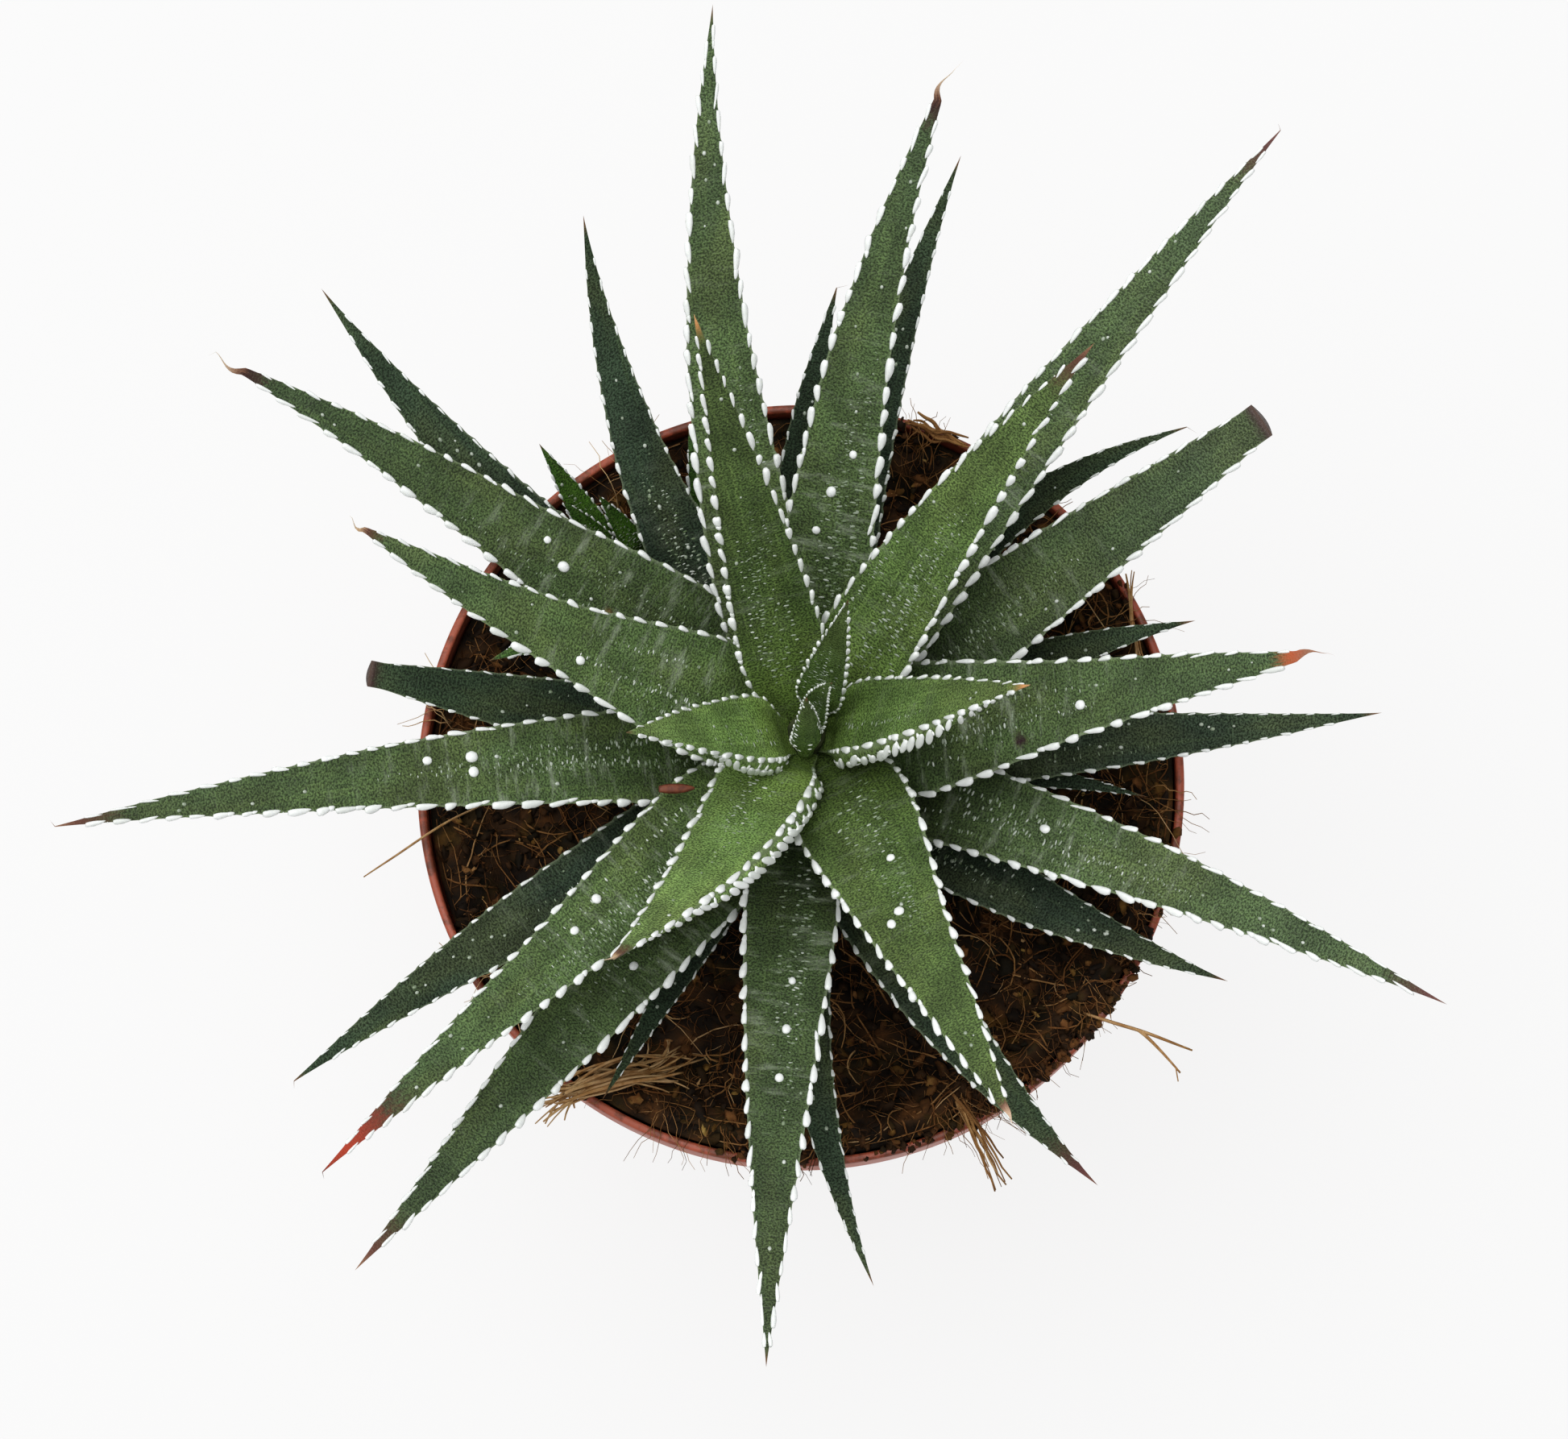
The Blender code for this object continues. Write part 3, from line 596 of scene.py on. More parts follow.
def toothTemplate(side, around=10, rings=9):
    # slender at the foot end, blunt at the far end, full on the outer side and flat toward the leaf
    points, faces = ballTemplate(around, rings)
    reach = points[:, 0]
    full = np.sqrt(np.maximum(1 - reach ** 2, 1e-9))
    wanted = ((1 + reach) / 2) ** 0.62 * ((1 - reach) / 2) ** 0.30 / 0.66
    scale = np.where(np.abs(reach) < 0.999, wanted / full, 0.0)
    points[:, 1] *= scale
    points[:, 2] *= scale
    points[:, 1] = np.where(points[:, 1] < 0, points[:, 1] * 0.5, points[:, 1])
    if side < 0:
        points[:, 1] *= -1
        faces = [tuple(reversed(face)) for face in faces]
    return points, faces


toothShapes = {1: toothTemplate(1), -1: toothTemplate(-1)}
beadBall = ballTemplate(12, 8)
tickBall = ballTemplate(6, 4)
bandBall = ballTemplate(8, 5)


def toothPlaces(blade, teeth, rng):
    # a row of (start, gap) along one margin
    place = teeth["first"] * blade.length
    small = min(1.0, blade.width / skinRelief["fullWidth"]) ** 0.6
    rows = []
    while place < teeth["last"] * blade.length:
        share = place / blade.length
        low, high = teeth["gap"]
        usual = (low + (high - low) * float(smoothStep(0.0, 0.35, share))) * mm * small
        gap = usual * rng.uniform(0.78, 1.22)
        rows.append((place, gap))
        place += gap
    return rows


def leafSkin(blade, end, toothRows):
    # the skin as a grid: upper face from the left margin to the right one, then back along the underside
    upper = np.sin(np.linspace(math.pi / 2, -math.pi / 2, leafShape["upperPoints"]))
    under = np.sin(np.linspace(-math.pi / 2, math.pi / 2, leafShape["underPoints"] + 2))[1:-1]
    weights = np.concatenate((sectionWeights(upper, False), sectionWeights(under, True)))
    across = np.concatenate((upper, under))
    grid = np.einsum("mk,nkc->nmc", weights, blade.rows)
    middle = (blade.rows[:, 2] + blade.rows[:, 6]) / 2
    leftward = unit(blade.rows[:, 0] - blade.rows[:, 4])
    # the margin steps out under each tooth
    for side, rows in toothRows.items():
        push = np.zeros(blade.count)
        for start, gap in rows:
            part = (blade.places - start) / gap
            inside = (part >= 0) & (part < 1)
            rise = np.where(part < 0.8, (np.clip(part, 0, 1) / 0.8) ** 1.4, (1 - np.clip(part, 0, 1)) / 0.2)
            push = np.where(inside, rise, push)
        push = push * skinRelief["serration"] * (1 - blade.share ** 3)
        push = push * min(1.0, blade.width / skinRelief["fullWidth"])
        near = np.clip(across * side, 0, 1) ** 10
        grid += push[:, None, None] * side * near[None, :, None] * leftward[:, None, :]
    shrivel = dryLength.get(end, 0.0) * mm
    back = blade.length - blade.places
    if shrivel:
        thin = 1 - dryThin[end] * smoothStep(0, 0.6, 1 - back / shrivel) * (back < shrivel)
        grid = middle[:, None, :] + (grid - middle[:, None, :]) * thin[:, None, None]
        curl = np.clip(1 - back / shrivel, 0, 1)
        upward = unit(blade.rows[:, 2] - blade.rows[:, 6] + 1e-9)
        sway = (0.5 * np.sin(curl * 5.0) * leftward.T + 0.7 * curl ** 2 * upward.T).T * mm * dryCurl[end]
        grid += sway[:, None, :]
    rows, columns = grid.shape[:2]
    points = grid.reshape(-1, 3)
    faces = []
    for row in range(rows - 1):
        low = row * columns
        high = low + columns
        for column in range(columns):
            follow = (column + 1) % columns
            faces.append((low + column, low + follow, high + follow, high + column))
    shares = np.repeat(blade.share, columns)
    acrossAll = np.tile(np.abs(across), rows)
    halfWidth = np.linalg.norm(blade.rows[:, 0] - blade.rows[:, 4], axis=1)[:, None] / 2
    uvAcross = (across * np.where(np.arange(columns) < len(upper), 1, 1)[None, :] * halfWidth).ravel() / mm
    uvAcross += np.tile(np.where(np.arange(columns) < len(upper), 0.0, 40.0), rows)
    uvAlong = np.repeat(blade.places, columns) / mm
    # close the foot, and the end if it is cut
    caps = [(0, False)]
    if not blade.pointed:
        caps.append((rows - 1, True))
    for row, isEnd in caps:
        centre = len(points)
        points = np.vstack((points, grid[row].mean(axis=0)[None, :]))
        shares = np.append(shares, blade.share[row])
        acrossAll = np.append(acrossAll, 0.0)
        uvAcross = np.append(uvAcross, 0.0)
        uvAlong = np.append(uvAlong, blade.places[row] / mm + 1.0)
        for column in range(columns):
            a = row * columns + column
            b = row * columns + (column + 1) % columns
            faces.append((a, b, centre) if isEnd else (b, a, centre))
    return points, faces, shares, acrossAll, uvAcross, uvAlong


def endPaint(blade, end, places, rng):
    back = (blade.length - places) / mm
    back = back * (1 + 0.12 * rng.uniform(-1, 1, len(back))) + rng.uniform(-0.1, 0.1, len(back))
    scale = min(1.0, blade.length / (45 * mm)) if end not in dryLength else 1.0
    knots = leafEnds[end]
    distances = [knot[0] * scale for knot in knots]
    result = np.zeros((len(places), 4))
    for channel in range(3):
        result[:, channel] = np.interp(back, distances, [knot[1][channel] for knot in knots])
    result[:, 3] = np.interp(back, distances, [knot[2] for knot in knots])
    return result


def addTeeth(heap, blade, toothRows, teeth, end, rng):
    # white teeth of the margin, shorter and thinner where the margin is turned to the back
    size = min(1.0, blade.width / skinRelief["fullWidth"])
    lastTooth = blade.length - max(dryLength.get(end, 0.0), 1.2) * mm
    for side, rows in toothRows.items():
        rows = [(start, gap) for start, gap in rows if start + gap < lastTooth]
        if not rows:
            continue
        place = np.array([start + gap * 0.56 for start, gap in rows])
        gap = np.array([gap for start, gap in rows])
        count = len(place)
        share = place / blade.length
        centre, along, _, out = blade.at(place, np.full(count, side * 0.985))
        controls = blade.controls(place)
        outward = unit(controls[:, 0] - controls[:, 4]) * side
        back = np.clip(outward[:, 1], 0, 1)
        lean = np.radians(skinRelief["lean"] * rng.uniform(0.0, 1.8, count))[:, None]
        longWay = unit(along * np.cos(lean) + outward * np.sin(lean))
        up = unit(out + outward * 0.25)
        up = unit(up - longWay * (up * longWay).sum(axis=1, keepdims=True))
        wide = np.cross(up, longWay)
        slim = 0.50 + 0.50 * smoothStep(0.0, 0.22, share) - 0.40 * smoothStep(0.55, 1.0, share)
        halfLong = gap * teeth["length"] / 2 * rng.uniform(0.72, 1.08, count) * (1 - 0.16 * back)
        halfWide = teeth["width"] * mm * slim * size ** 0.7 * rng.uniform(0.72, 1.22, count)
        halfWide = halfWide * (1 - 0.30 * back)
        halfHigh = halfWide * rng.uniform(0.45, 0.75, count)
        sizes = np.stack((halfLong, halfWide, halfHigh), axis=1)
        centre = centre - outward * 0.08 * mm * size + up * 0.04 * mm
        pale = np.clip(rng.normal(0.93, 0.07, count) - 0.55 * (1 - smoothStep(0.06, 0.16, share)), 0, 1)
        heap.addBalls(toothShapes[side], centre, longWay, wide, up, sizes, 1, pale, rng, 0.07)
        # some teeth have a small one grown onto their foot end
        twin = rng.random(count) < 0.22
        if twin.any():
            shift = longWay * (halfLong * rng.uniform(0.9, 1.25, count))[:, None]
            heap.addBalls(toothShapes[side], (centre - shift)[twin], longWay[twin], wide[twin], up[twin],
                          (sizes * (0.45, 0.7, 0.7))[twin], 1, pale[twin], rng, 0.07)


def addTicks(heap, blade, old, plenty, rng):
    # short pale ticks, each lying across the leaf, in lines that run along its foot half
    size = min(1.0, blade.width / skinRelief["fullWidth"])
    fewest, most = skinRelief["tickLines"]
    ticks = []
    for _ in range(max(1, int((rng.integers(fewest, most + 1) - (2 if old else 0)) * plenty))):
        x = rng.normal(0, 0.30)
        place = rng.uniform(0.10, 0.24) * blade.length
        stop = rng.uniform(0.34, 0.60) * blade.length
        bold = rng.uniform(0.14, 0.42)
        while place < stop:
            place += skinRelief["tickGap"] * rng.uniform(0.7, 2.2)
            if rng.random() < 0.74:
                swell = math.sin(math.pi * min(place / stop, 1.0)) * 0.5 + 0.5
                ticks.append((place, x + rng.normal(0, 0.05), bold * rng.uniform(0.4, 1.6), swell))
    for _ in range(int(12 * size * plenty * (0.5 if old else 1.0))):
        place = rng.uniform(0.15, 0.48) * blade.length
        ticks.append((place, rng.uniform(-0.6, 0.6), rng.uniform(0.05, 0.35), rng.uniform(0.4, 0.9)))
    place, x, pale, swell = np.array(ticks).T
    centre, along, sideways, out = blade.at(place, x)
    count = len(place)
    tilt = rng.normal(0, 0.22, count)[:, None]
    longWay = unit(sideways + along * tilt)
    wide = np.cross(out, longWay)
    sizes = np.stack((rng.uniform(0.17, 0.40, count), rng.uniform(0.10, 0.17, count),
                      rng.uniform(0.05, 0.09, count)), axis=1) * mm * swell[:, None] * (0.7 + 0.3 * size)
    heap.addBalls(tickBall, centre, longWay, wide, out, sizes, 1, np.clip(pale, 0.05, 0.85), rng, 0.08)
    # single round dots, a few of them far out on the leaf
    number, start, stop = skinRelief["dots"]["old" if old else "grown"]
    count = max(2, int(number * plenty * blade.length / (60 * mm)))
    place = rng.uniform(start, stop, count) * blade.length
    x = np.clip(rng.normal(0, 0.32, count), -0.7, 0.7)
    centre, along, sideways, out = blade.at(place, x)
    sizes = rng.uniform(0.13, 0.26, (count, 1)) * (1.15, 1.0, 0.45) * mm
    heap.addBalls(tickBall, centre, along, sideways, out, sizes, 1, rng.uniform(0.2, 0.6, count), rng, 0.08)


def addBeads(heap, blade, beads, rng):
    # a few large white beads
    place, x, size = np.array(beads).T
    centre, along, sideways, out = blade.at(place * blade.length, x)
    count = len(place)
    sizes = np.stack((rng.uniform(0.60, 0.72, count), rng.uniform(0.52, 0.64, count),
                      rng.uniform(0.32, 0.42, count)), axis=1) * mm * size[:, None]
    heap.addBalls(beadBall, centre, along, sideways, out, sizes, 1, np.ones(count), rng, 0.05)


def addBands(heap, blade, old, rng):
    # white bands across the underside, each a row of beads grown together
    size = min(1.0, blade.width / skinRelief["fullWidth"])
    bands = []
    place = 0.14 * blade.length
    while place < 0.93 * blade.length:
        controls = blade.controls(np.array([place]))[0]
        span = float(np.linalg.norm(controls[0] - controls[4]))
        number = max(2, int(span / (1.15 * mm)))
        for x in np.linspace(-0.86, 0.86, number):
            if rng.random() < 0.72 - 0.25 * old:
                bands.append((place + rng.normal(0, 0.18) * mm, x + rng.normal(0, 0.04), span))
        place += skinRelief["bandGap"] * rng.uniform(0.75, 1.25) * size ** 0.5
    place, x, span = np.array(bands).T
    centre, along, sideways, out = blade.at(place, x, True)
    count = len(place)
    sizes = np.stack((rng.uniform(0.24, 0.42, count), rng.uniform(0.4, 0.72, count),
                      rng.uniform(0.16, 0.28, count)), axis=1) * mm
    sizes *= np.clip(span / (9 * mm), 0.45, 1.0)[:, None]
    pale = np.clip(rng.normal(0.88, 0.1, count), 0.3, 1)
    heap.addBalls(bandBall, centre, along, sideways, out, sizes, 1, pale, rng, 0.04)


def addBars(heap, blade, reach, rng):
    # thick white bars on the flank that rolls out into sight
    places = []
    place = 0.07 * blade.length
    while place < reach * blade.length:
        places.append(place)
        place += skinRelief["barGap"] * rng.uniform(0.75, 1.25)
    place = np.array(places)
    count = len(place)
    centre, along, sideways, out = blade.at(place, blade.rollSide * rng.uniform(0.72, 0.84, count), True)
    # they slope back toward the foot on their way to the keel
    slope = rng.normal(1.9, 0.25, count)[:, None]
    longWay = unit(sideways * blade.rollSide - along * slope)
    wide = np.cross(out, longWay)
    swell = 0.5 + 0.5 * np.sin(math.pi * np.clip(place / blade.length / reach, 0, 1) ** 0.7)
    sizes = np.stack((rng.uniform(1.25, 1.65, count), rng.uniform(0.38, 0.54, count),
                      rng.uniform(0.24, 0.34, count)), axis=1) * mm * swell[:, None]
    heap.addBalls(beadBall, centre, longWay, wide, out, sizes, 1, rng.uniform(0.75, 1, count), rng, 0.05)


def dressLeaf(name, slot, seed):
    rng = np.random.default_rng(seed)
    traits = leafTraits.get(name, {})
    blade = Blade(name, traits)
    end = traits.get("end", "plain")
    old = slot == "old_leaf"
    teeth = skinRelief["teethOld"] if old else skinRelief["teethGrown"]
    toothRows = {1: toothPlaces(blade, teeth, rng), -1: toothPlaces(blade, teeth, rng)}
    points, faces, shares, across, uvAcross, uvAlong = leafSkin(blade, end, toothRows)
    paint = endPaint(blade, end, shares * blade.length, rng)
    for share, place, colour in traits.get("spots", ()):
        spot = blade.at(share * blade.length, place)[0][0]
        near = np.linalg.norm(points - spot, axis=1)
        strength = 1 - smoothStep(0.5 * mm, 1.0 * mm, near)
        paint[:, :3] = np.where(strength[:, None] > 0.01, colour, paint[:, :3])
        paint[:, 3] = np.maximum(paint[:, 3], strength)
    skinCount = len(points)
    heap = Heap()
    heap.add(points, faces, 0, 0.0)
    addTeeth(heap, blade, toothRows, teeth, end, rng)
    addTicks(heap, blade, old, traits.get("ticks", 1.0), rng)
    if "beads" in traits:
        addBeads(heap, blade, traits["beads"], rng)
    addBands(heap, blade, old, rng)
    if blade.rollSide:
        addBars(heap, blade, traits["roll"][2], rng)
    allPoints = np.vstack(heap.points)
    extra = len(allPoints) - skinCount
    # the leaf's tone, with shade painted onto its foot where the foot's value is below 1 and a painted
    # lighter foot where it is above 1
    footShade = traits.get("footShade", 1.0)
    tone = traits.get("tone", 1.0) * rng.uniform(0.94, 1.06)
    toneAndFootShade = tone * (footShade + (1 - footShade) * smoothStep(0.06, 0.40, shares))
    values = {
        "along": np.concatenate((shares, np.full(extra, 0.5))),
        "across": np.concatenate((across, np.zeros(extra))),
        "pale": np.concatenate(heap.pale),
        "tone": np.concatenate((toneAndFootShade, np.full(extra, tone))),
    }
    colours = {"paint": np.vstack((paint, np.zeros((extra, 4))))}
    offset = seed * 13.7
    uv = np.stack((uvAcross + offset, uvAlong + offset * 0.37), axis=1)
    uv = np.vstack((uv, allPoints[skinCount:, :2] / mm))
    piece = makeMesh(name + "_grown", allPoints, heap.faces, (skinMaterials[slot], whiteMaterial),
                     heap.kinds, values, colours, uv)
    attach(piece, "root")
    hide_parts(name)
    return len(heap.faces)


leafGroups = (("inner_leaf", "young_leaf", 9), ("middle_leaf", "grown_leaf", 12),
              ("outer_leaf", "old_leaf", 14), ("offset_leaf", "offset_leaf", 5))
seed = 1
for prefix, slot, count in leafGroups:
    total = 0
    for number in range(1, count + 1):
        total += dressLeaf("%s_%d" % (prefix, number), slot, seed)
        seed += 1
    print(prefix, "leaves dressed,", total, "faces")


# pot

potLook = {
    "steps": 216,
    "lipRound": 0.42 * mm,
    "colour": (0.365, 0.088, 0.048),
    "worn": (0.44, 0.14, 0.085),
    "padRadius": 13 * mm,
    "channel": (15 * mm, 25 * mm, 2.5 * mm),  # inner and outer radius of the raised ring, and its rise
    "floor": 1.2 * mm,
    "holes": 8,
    "holeRadius": 3 * mm,
}


def potMaterial():
    material, tree, shader = newMaterial("terracottaPlastic")
    place = objectVector(tree)
    cloud = remap(tree, noiseNode(tree, place, 60, 4.0), 0.35, 0.7)
    colour = mixColour(tree, mathNode(tree, "MULTIPLY", cloud, 0.45), potLook["colour"], potLook["worn"])
    stain = remap(tree, noiseNode(tree, place, 230, 5.0, 0.65), 0.56, 0.72)
    colour = mixColour(tree, mathNode(tree, "MULTIPLY", stain, 0.35), colour, (0.12, 0.045, 0.025))
    # peat dust that clings to the lip
    height = tree.nodes.new("ShaderNodeSeparateXYZ")
    tree.links.new(place, height.inputs[0])
    lip = remap(tree, height.outputs["Z"], pot["top"] - 1.6 * mm, pot["top"])
    dust = remap(tree, noiseNode(tree, place, 420, 4.0, 0.7), 0.42, 0.60, 0.0, 0.62)
    colour = mixColour(tree, mathNode(tree, "MULTIPLY", lip, dust), colour, (0.050, 0.024, 0.012))
    tree.links.new(colour, shader.inputs["Base Color"])
    tree.links.new(remap(tree, cloud, 0.0, 1.0, 0.42, 0.58), shader.inputs["Roughness"])
    shader.inputs["Specular IOR Level"].default_value = 0.42
    bump(tree, shader, noiseNode(tree, place, 1800, 3.0), 0.22, 0.0001)
    return material


def turnedMesh(name, profile, steps):
    # a closed shape turned from (radius, height) pairs that start and end on the axis
    points = []
    faces = []
    inner = profile[1:-1]
    for radius, height in inner:
        for step in range(steps):
            turn = 2 * math.pi * step / steps
            points.append((radius * math.cos(turn), radius * math.sin(turn), height))
    first = len(points)
    points.append((0.0, 0.0, profile[0][1]))
    points.append((0.0, 0.0, profile[-1][1]))
    for step in range(steps):
        follow = (step + 1) % steps
        faces.append((first, step, follow))
        for row in range(len(inner) - 1):
            low = row * steps
            high = low + steps
            faces.append((low + step, high + step, high + follow, low + follow))
        last = (len(inner) - 1) * steps
        faces.append((last + follow, last + step, first + 1))
    return makeMesh(name, points, faces, ())


def roundCorner(fromPoint, corner, toPoint, radius, steps=5):
    # points of a rounded corner in a profile
    corner = np.array(corner)
    one = corner + unit(np.array(fromPoint) - corner) * radius
    two = corner + unit(np.array(toPoint) - corner) * radius
    result = []
    for t in np.linspace(0, 1, steps):
        result.append(tuple(one * (1 - t) ** 2 + corner * 2 * t * (1 - t) + two * t ** 2))
    return result


def potMeasures():
    points = weldedNode("pot")[0]
    radius = np.hypot(points[:, 0], points[:, 1])
    height = points[:, 2]
    rim = radius.max()
    top = height.max()
    collar = height[radius > rim - 0.01 * mm].min()
    inside = radius[height > top - 0.5 * mm].min()
    under = radius[(abs(height - collar) < 0.01 * mm) & (radius < rim - 0.5 * mm)].max()
    base = radius[height < 0.5 * mm].max()
    return {"rim": rim, "top": top, "collar": collar, "inside": inside, "under": under, "base": base}


pot = potMeasures()


def buildPot():
    wall = pot["rim"] - pot["inside"]
    inner, outer, rise = potLook["channel"]
    floor = potLook["floor"]
    step = pot["rim"] - pot["under"]
    bottomInside = pot["base"] - wall + 0.3 * mm
    profile = [
        (0.0, floor), (potLook["padRadius"] - floor, floor), (inner, rise + floor), (outer, rise + floor),
        (outer + rise, floor), (bottomInside, floor),
        (pot["under"] - wall, pot["collar"]), (pot["inside"], pot["collar"] + step),
    ]
    lipInside = (pot["inside"], pot["top"])
    lipOutside = (pot["rim"], pot["top"])
    collarCorner = (pot["rim"], pot["collar"])
    tuck = (pot["under"], pot["collar"])
    foot = (pot["base"], 0.0)
    profile += roundCorner(profile[-1], lipInside, lipOutside, potLook["lipRound"])
    profile += roundCorner(lipInside, lipOutside, collarCorner, potLook["lipRound"])
    profile += roundCorner(lipOutside, collarCorner, tuck, 0.3 * mm)
    profile += roundCorner(collarCorner, tuck, foot, 0.25 * mm)
    profile += roundCorner(tuck, foot, (0.0, 0.0), 0.8 * mm)
    profile += [
        (outer + rise - floor, 0.0), (outer - floor, rise), (inner + floor, rise),
        (potLook["padRadius"], 0.0), (0.0, 0.0),
    ]
    rough = turnedMesh("potRough", profile, potLook["steps"])
    bpy.ops.mesh.primitive_cylinder_add(vertices=40, radius=potLook["holeRadius"], depth=10 * mm)
    plug = bpy.context.object
    ring = (inner + outer) / 2
    template = plug.data.copy()
    bpy.data.objects.remove(plug)
    cutters = bmesh.new()
    for index in range(potLook["holes"]):
        turn = 2 * math.pi * (index + 0.5) / potLook["holes"]
        before = len(cutters.verts)
        cutters.from_mesh(template)
        cutters.verts.ensure_lookup_table()
        for point in cutters.verts[before:]:
            point.co += Vector((ring * math.cos(turn), ring * math.sin(turn), rise))
    cutterMesh = bpy.data.meshes.new("holeCutters")
    cutters.to_mesh(cutterMesh)
    cutters.free()
    cutter = bpy.data.objects.new("holeCutters", cutterMesh)
    bpy.context.scene.collection.objects.link(cutter)
    modifier = rough.modifiers.new("holes", "BOOLEAN")
    modifier.operation = "DIFFERENCE"
    modifier.solver = "EXACT"
    modifier.object = cutter
    graph = bpy.context.evaluated_depsgraph_get()
    mesh = bpy.data.meshes.new_from_object(rough.evaluated_get(graph))
    bpy.data.objects.remove(cutter)
    bpy.data.objects.remove(rough)
    mesh.materials.clear()
    mesh.materials.append(potMaterial())
    mesh.shade_smooth()
    mesh.set_sharp_from_angle(angle=math.radians(38))
    piece = bpy.data.objects.new("potTurned", mesh)
    bpy.context.scene.collection.objects.link(piece)
    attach(piece, "root")
    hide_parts("pot")


buildPot()
print("pot turned")


# soil with its crumbs and fibres

soilLook = {
    "rings": 110,
    "steps": 360,
    "lumps": ((4.2 * mm, 1.0 * mm), (1.7 * mm, 0.65 * mm), (0.75 * mm, 0.32 * mm)),  # size and height
    "moundFrom": 0.80,  # share of the radius where the soil starts to rise toward the rim
    "belowLip": 1.1 * mm,  # how far under the lip the soil ends
    "lipSlope": 0.9,  # and how steeply it falls to there
    # degrees round the pot, and how far the soil is heaped up at the rim there
    "mounds": ((-180, 3.0), (-150, 3.6), (-125, 6.4), (-100, 8.2), (-75, 8.0), (-50, 8.8), (-25, 8.0),
               (0, 5.6), (30, 4.6), (60, 4.4), (90, 4.6), (125, 4.2), (150, 3.4), (180, 3.0)),
    "crumbs": 3400,
    "fibres": 950,
    "hairs": 3600,
}


def soilSurface():
    shape = bmesh.new()
    shape.from_mesh(nodes["soil"].data)
    tree = BVHTree.FromBMesh(shape)
    shape.free()
    return tree


soilTree = soilSurface()
soilRadius = (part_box("soil")[1][0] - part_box("soil")[0][0]) / 2
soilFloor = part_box("soil")[0][2]


def soilLevel(x, y):
    # height of the peat at a place, heaped toward the rim and rough all over
    reach = min(math.hypot(x, y), soilRadius * 0.985)
    turn = math.atan2(y, x)
    hit = soilTree.ray_cast(Vector((reach * math.cos(turn), reach * math.sin(turn), 0.2)), Vector((0, 0, -1)))
    level = hit[0].z if hit[0] is not None else 0.0
    stem = math.hypot(x - crown[0], y - crown[1])
    if stem < 9 * mm or level < soilFloor + 40 * mm:
        level = max(level, 73 * mm)
        level = min(level, 74.5 * mm)
    angles, rises = zip(*soilLook["mounds"])
    heap = float(np.interp(math.degrees(turn), angles, rises)) * mm
    level += heap * float(smoothStep(soilLook["moundFrom"], 0.98, reach / soilRadius))
    # the last bit slopes down to just under the lip
    level = min(level, pot["top"] - soilLook["belowLip"] + (soilRadius - reach) * soilLook["lipSlope"])
    calm = 1 - 0.7 * float(smoothStep(0.94, 0.985, reach / soilRadius))
    for size, height in soilLook["lumps"]:
        level += calm * height * noise.noise(Vector((x / size, y / size, size * 1000)))
    return level


def soilMaterial(name, olive):
    # shade 0 is black peat, then brown, straw and yellow; olive is how much of it is not red brown
    material, tree, shader = newMaterial(name)
    shade = attribute(tree, "shade").outputs["Fac"]
    ramp = tree.nodes.new("ShaderNodeValToRGB")
    stops = ((0.0, (0.012, 0.0075, 0.0045)), (0.3, (0.050, 0.024, 0.009)), (0.55, (0.150, 0.064, 0.020)),
             (0.8, (0.33, 0.180, 0.070)), (1.0, (0.54, 0.37, 0.20)))
    while len(ramp.color_ramp.elements) < len(stops):
        ramp.color_ramp.elements.new(0.5)
    for element, (position, colour) in zip(ramp.color_ramp.elements, stops):
        element.position = position
        element.color = (*colour, 1.0)
    place = objectVector(tree)
    grain = noiseNode(tree, place, 900, 4.0, 0.65)
    uneven = mathNode(tree, "MULTIPLY", mathNode(tree, "SUBTRACT", grain, 0.5), 0.5)
    shifted = mathNode(tree, "ADD", shade, uneven)
    tree.links.new(shifted, ramp.inputs[0])
    patches = remap(tree, noiseNode(tree, place, 260, 2.0), 0.50, 0.62, 0.0, olive)
    colour = mixColour(tree, patches, ramp.outputs[0], (0.95, 1.35, 0.75), "MULTIPLY")
    tree.links.new(colour, shader.inputs["Base Color"])
    tree.links.new(remap(tree, grain, 0.0, 1.0, 0.75, 0.95), shader.inputs["Roughness"])
    shader.inputs["Specular IOR Level"].default_value = 0.25
    bump(tree, shader, grain, 0.7, 0.0003)
    return material


peatMaterial = soilMaterial("peatCrumb", 0.5)
fibreMaterial = soilMaterial("coirFibre", 0.06)


def buildSoil():
    rings = soilLook["rings"]
    steps = soilLook["steps"]
    points = [(0.0, 0.0, soilLevel(0.0, 0.0))]
    for ring in range(1, rings + 1):
        radius = soilRadius * ring / rings
        for step in range(steps):
            turn = 2 * math.pi * step / steps
            x = radius * math.cos(turn)
            y = radius * math.sin(turn)
            points.append((x, y, soilLevel(x, y)))
    lowest = soilFloor
    shoulder = pot["collar"]
    gap = pot["inside"] - soilRadius
    wall = pot["rim"] - pot["inside"]
    below = ((soilRadius, shoulder + pot["rim"] - pot["under"]), (pot["under"] - wall - gap, shoulder),
             (pot["base"] - wall - gap, lowest))
    for radius, height in below:
        for step in range(steps):
            turn = 2 * math.pi * step / steps
            points.append((radius * math.cos(turn), radius * math.sin(turn), height))
    points.append((0.0, 0.0, lowest))
    faces = []
    levels = rings + len(below)
    for step in range(steps):
        follow = (step + 1) % steps
        faces.append((0, 1 + step, 1 + follow))
        for ring in range(levels - 1):
            near = 1 + ring * steps
            far = near + steps
            faces.append((near + step, far + step, far + follow, near + follow))
        last = 1 + (levels - 1) * steps
        faces.append((last + follow, last + step, len(points) - 1))
    points = np.array(points)
    patches = np.array([noise.noise(Vector(tuple(point / (3.1 * mm)))) for point in points])
    shade = 0.14 + 0.50 * patches
    shade = np.clip(shade, 0.0, 0.5)
    piece = makeMesh("peatPlug", points, faces, (peatMaterial,), values={"shade": shade})
    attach(piece, "root")
    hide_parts("soil")


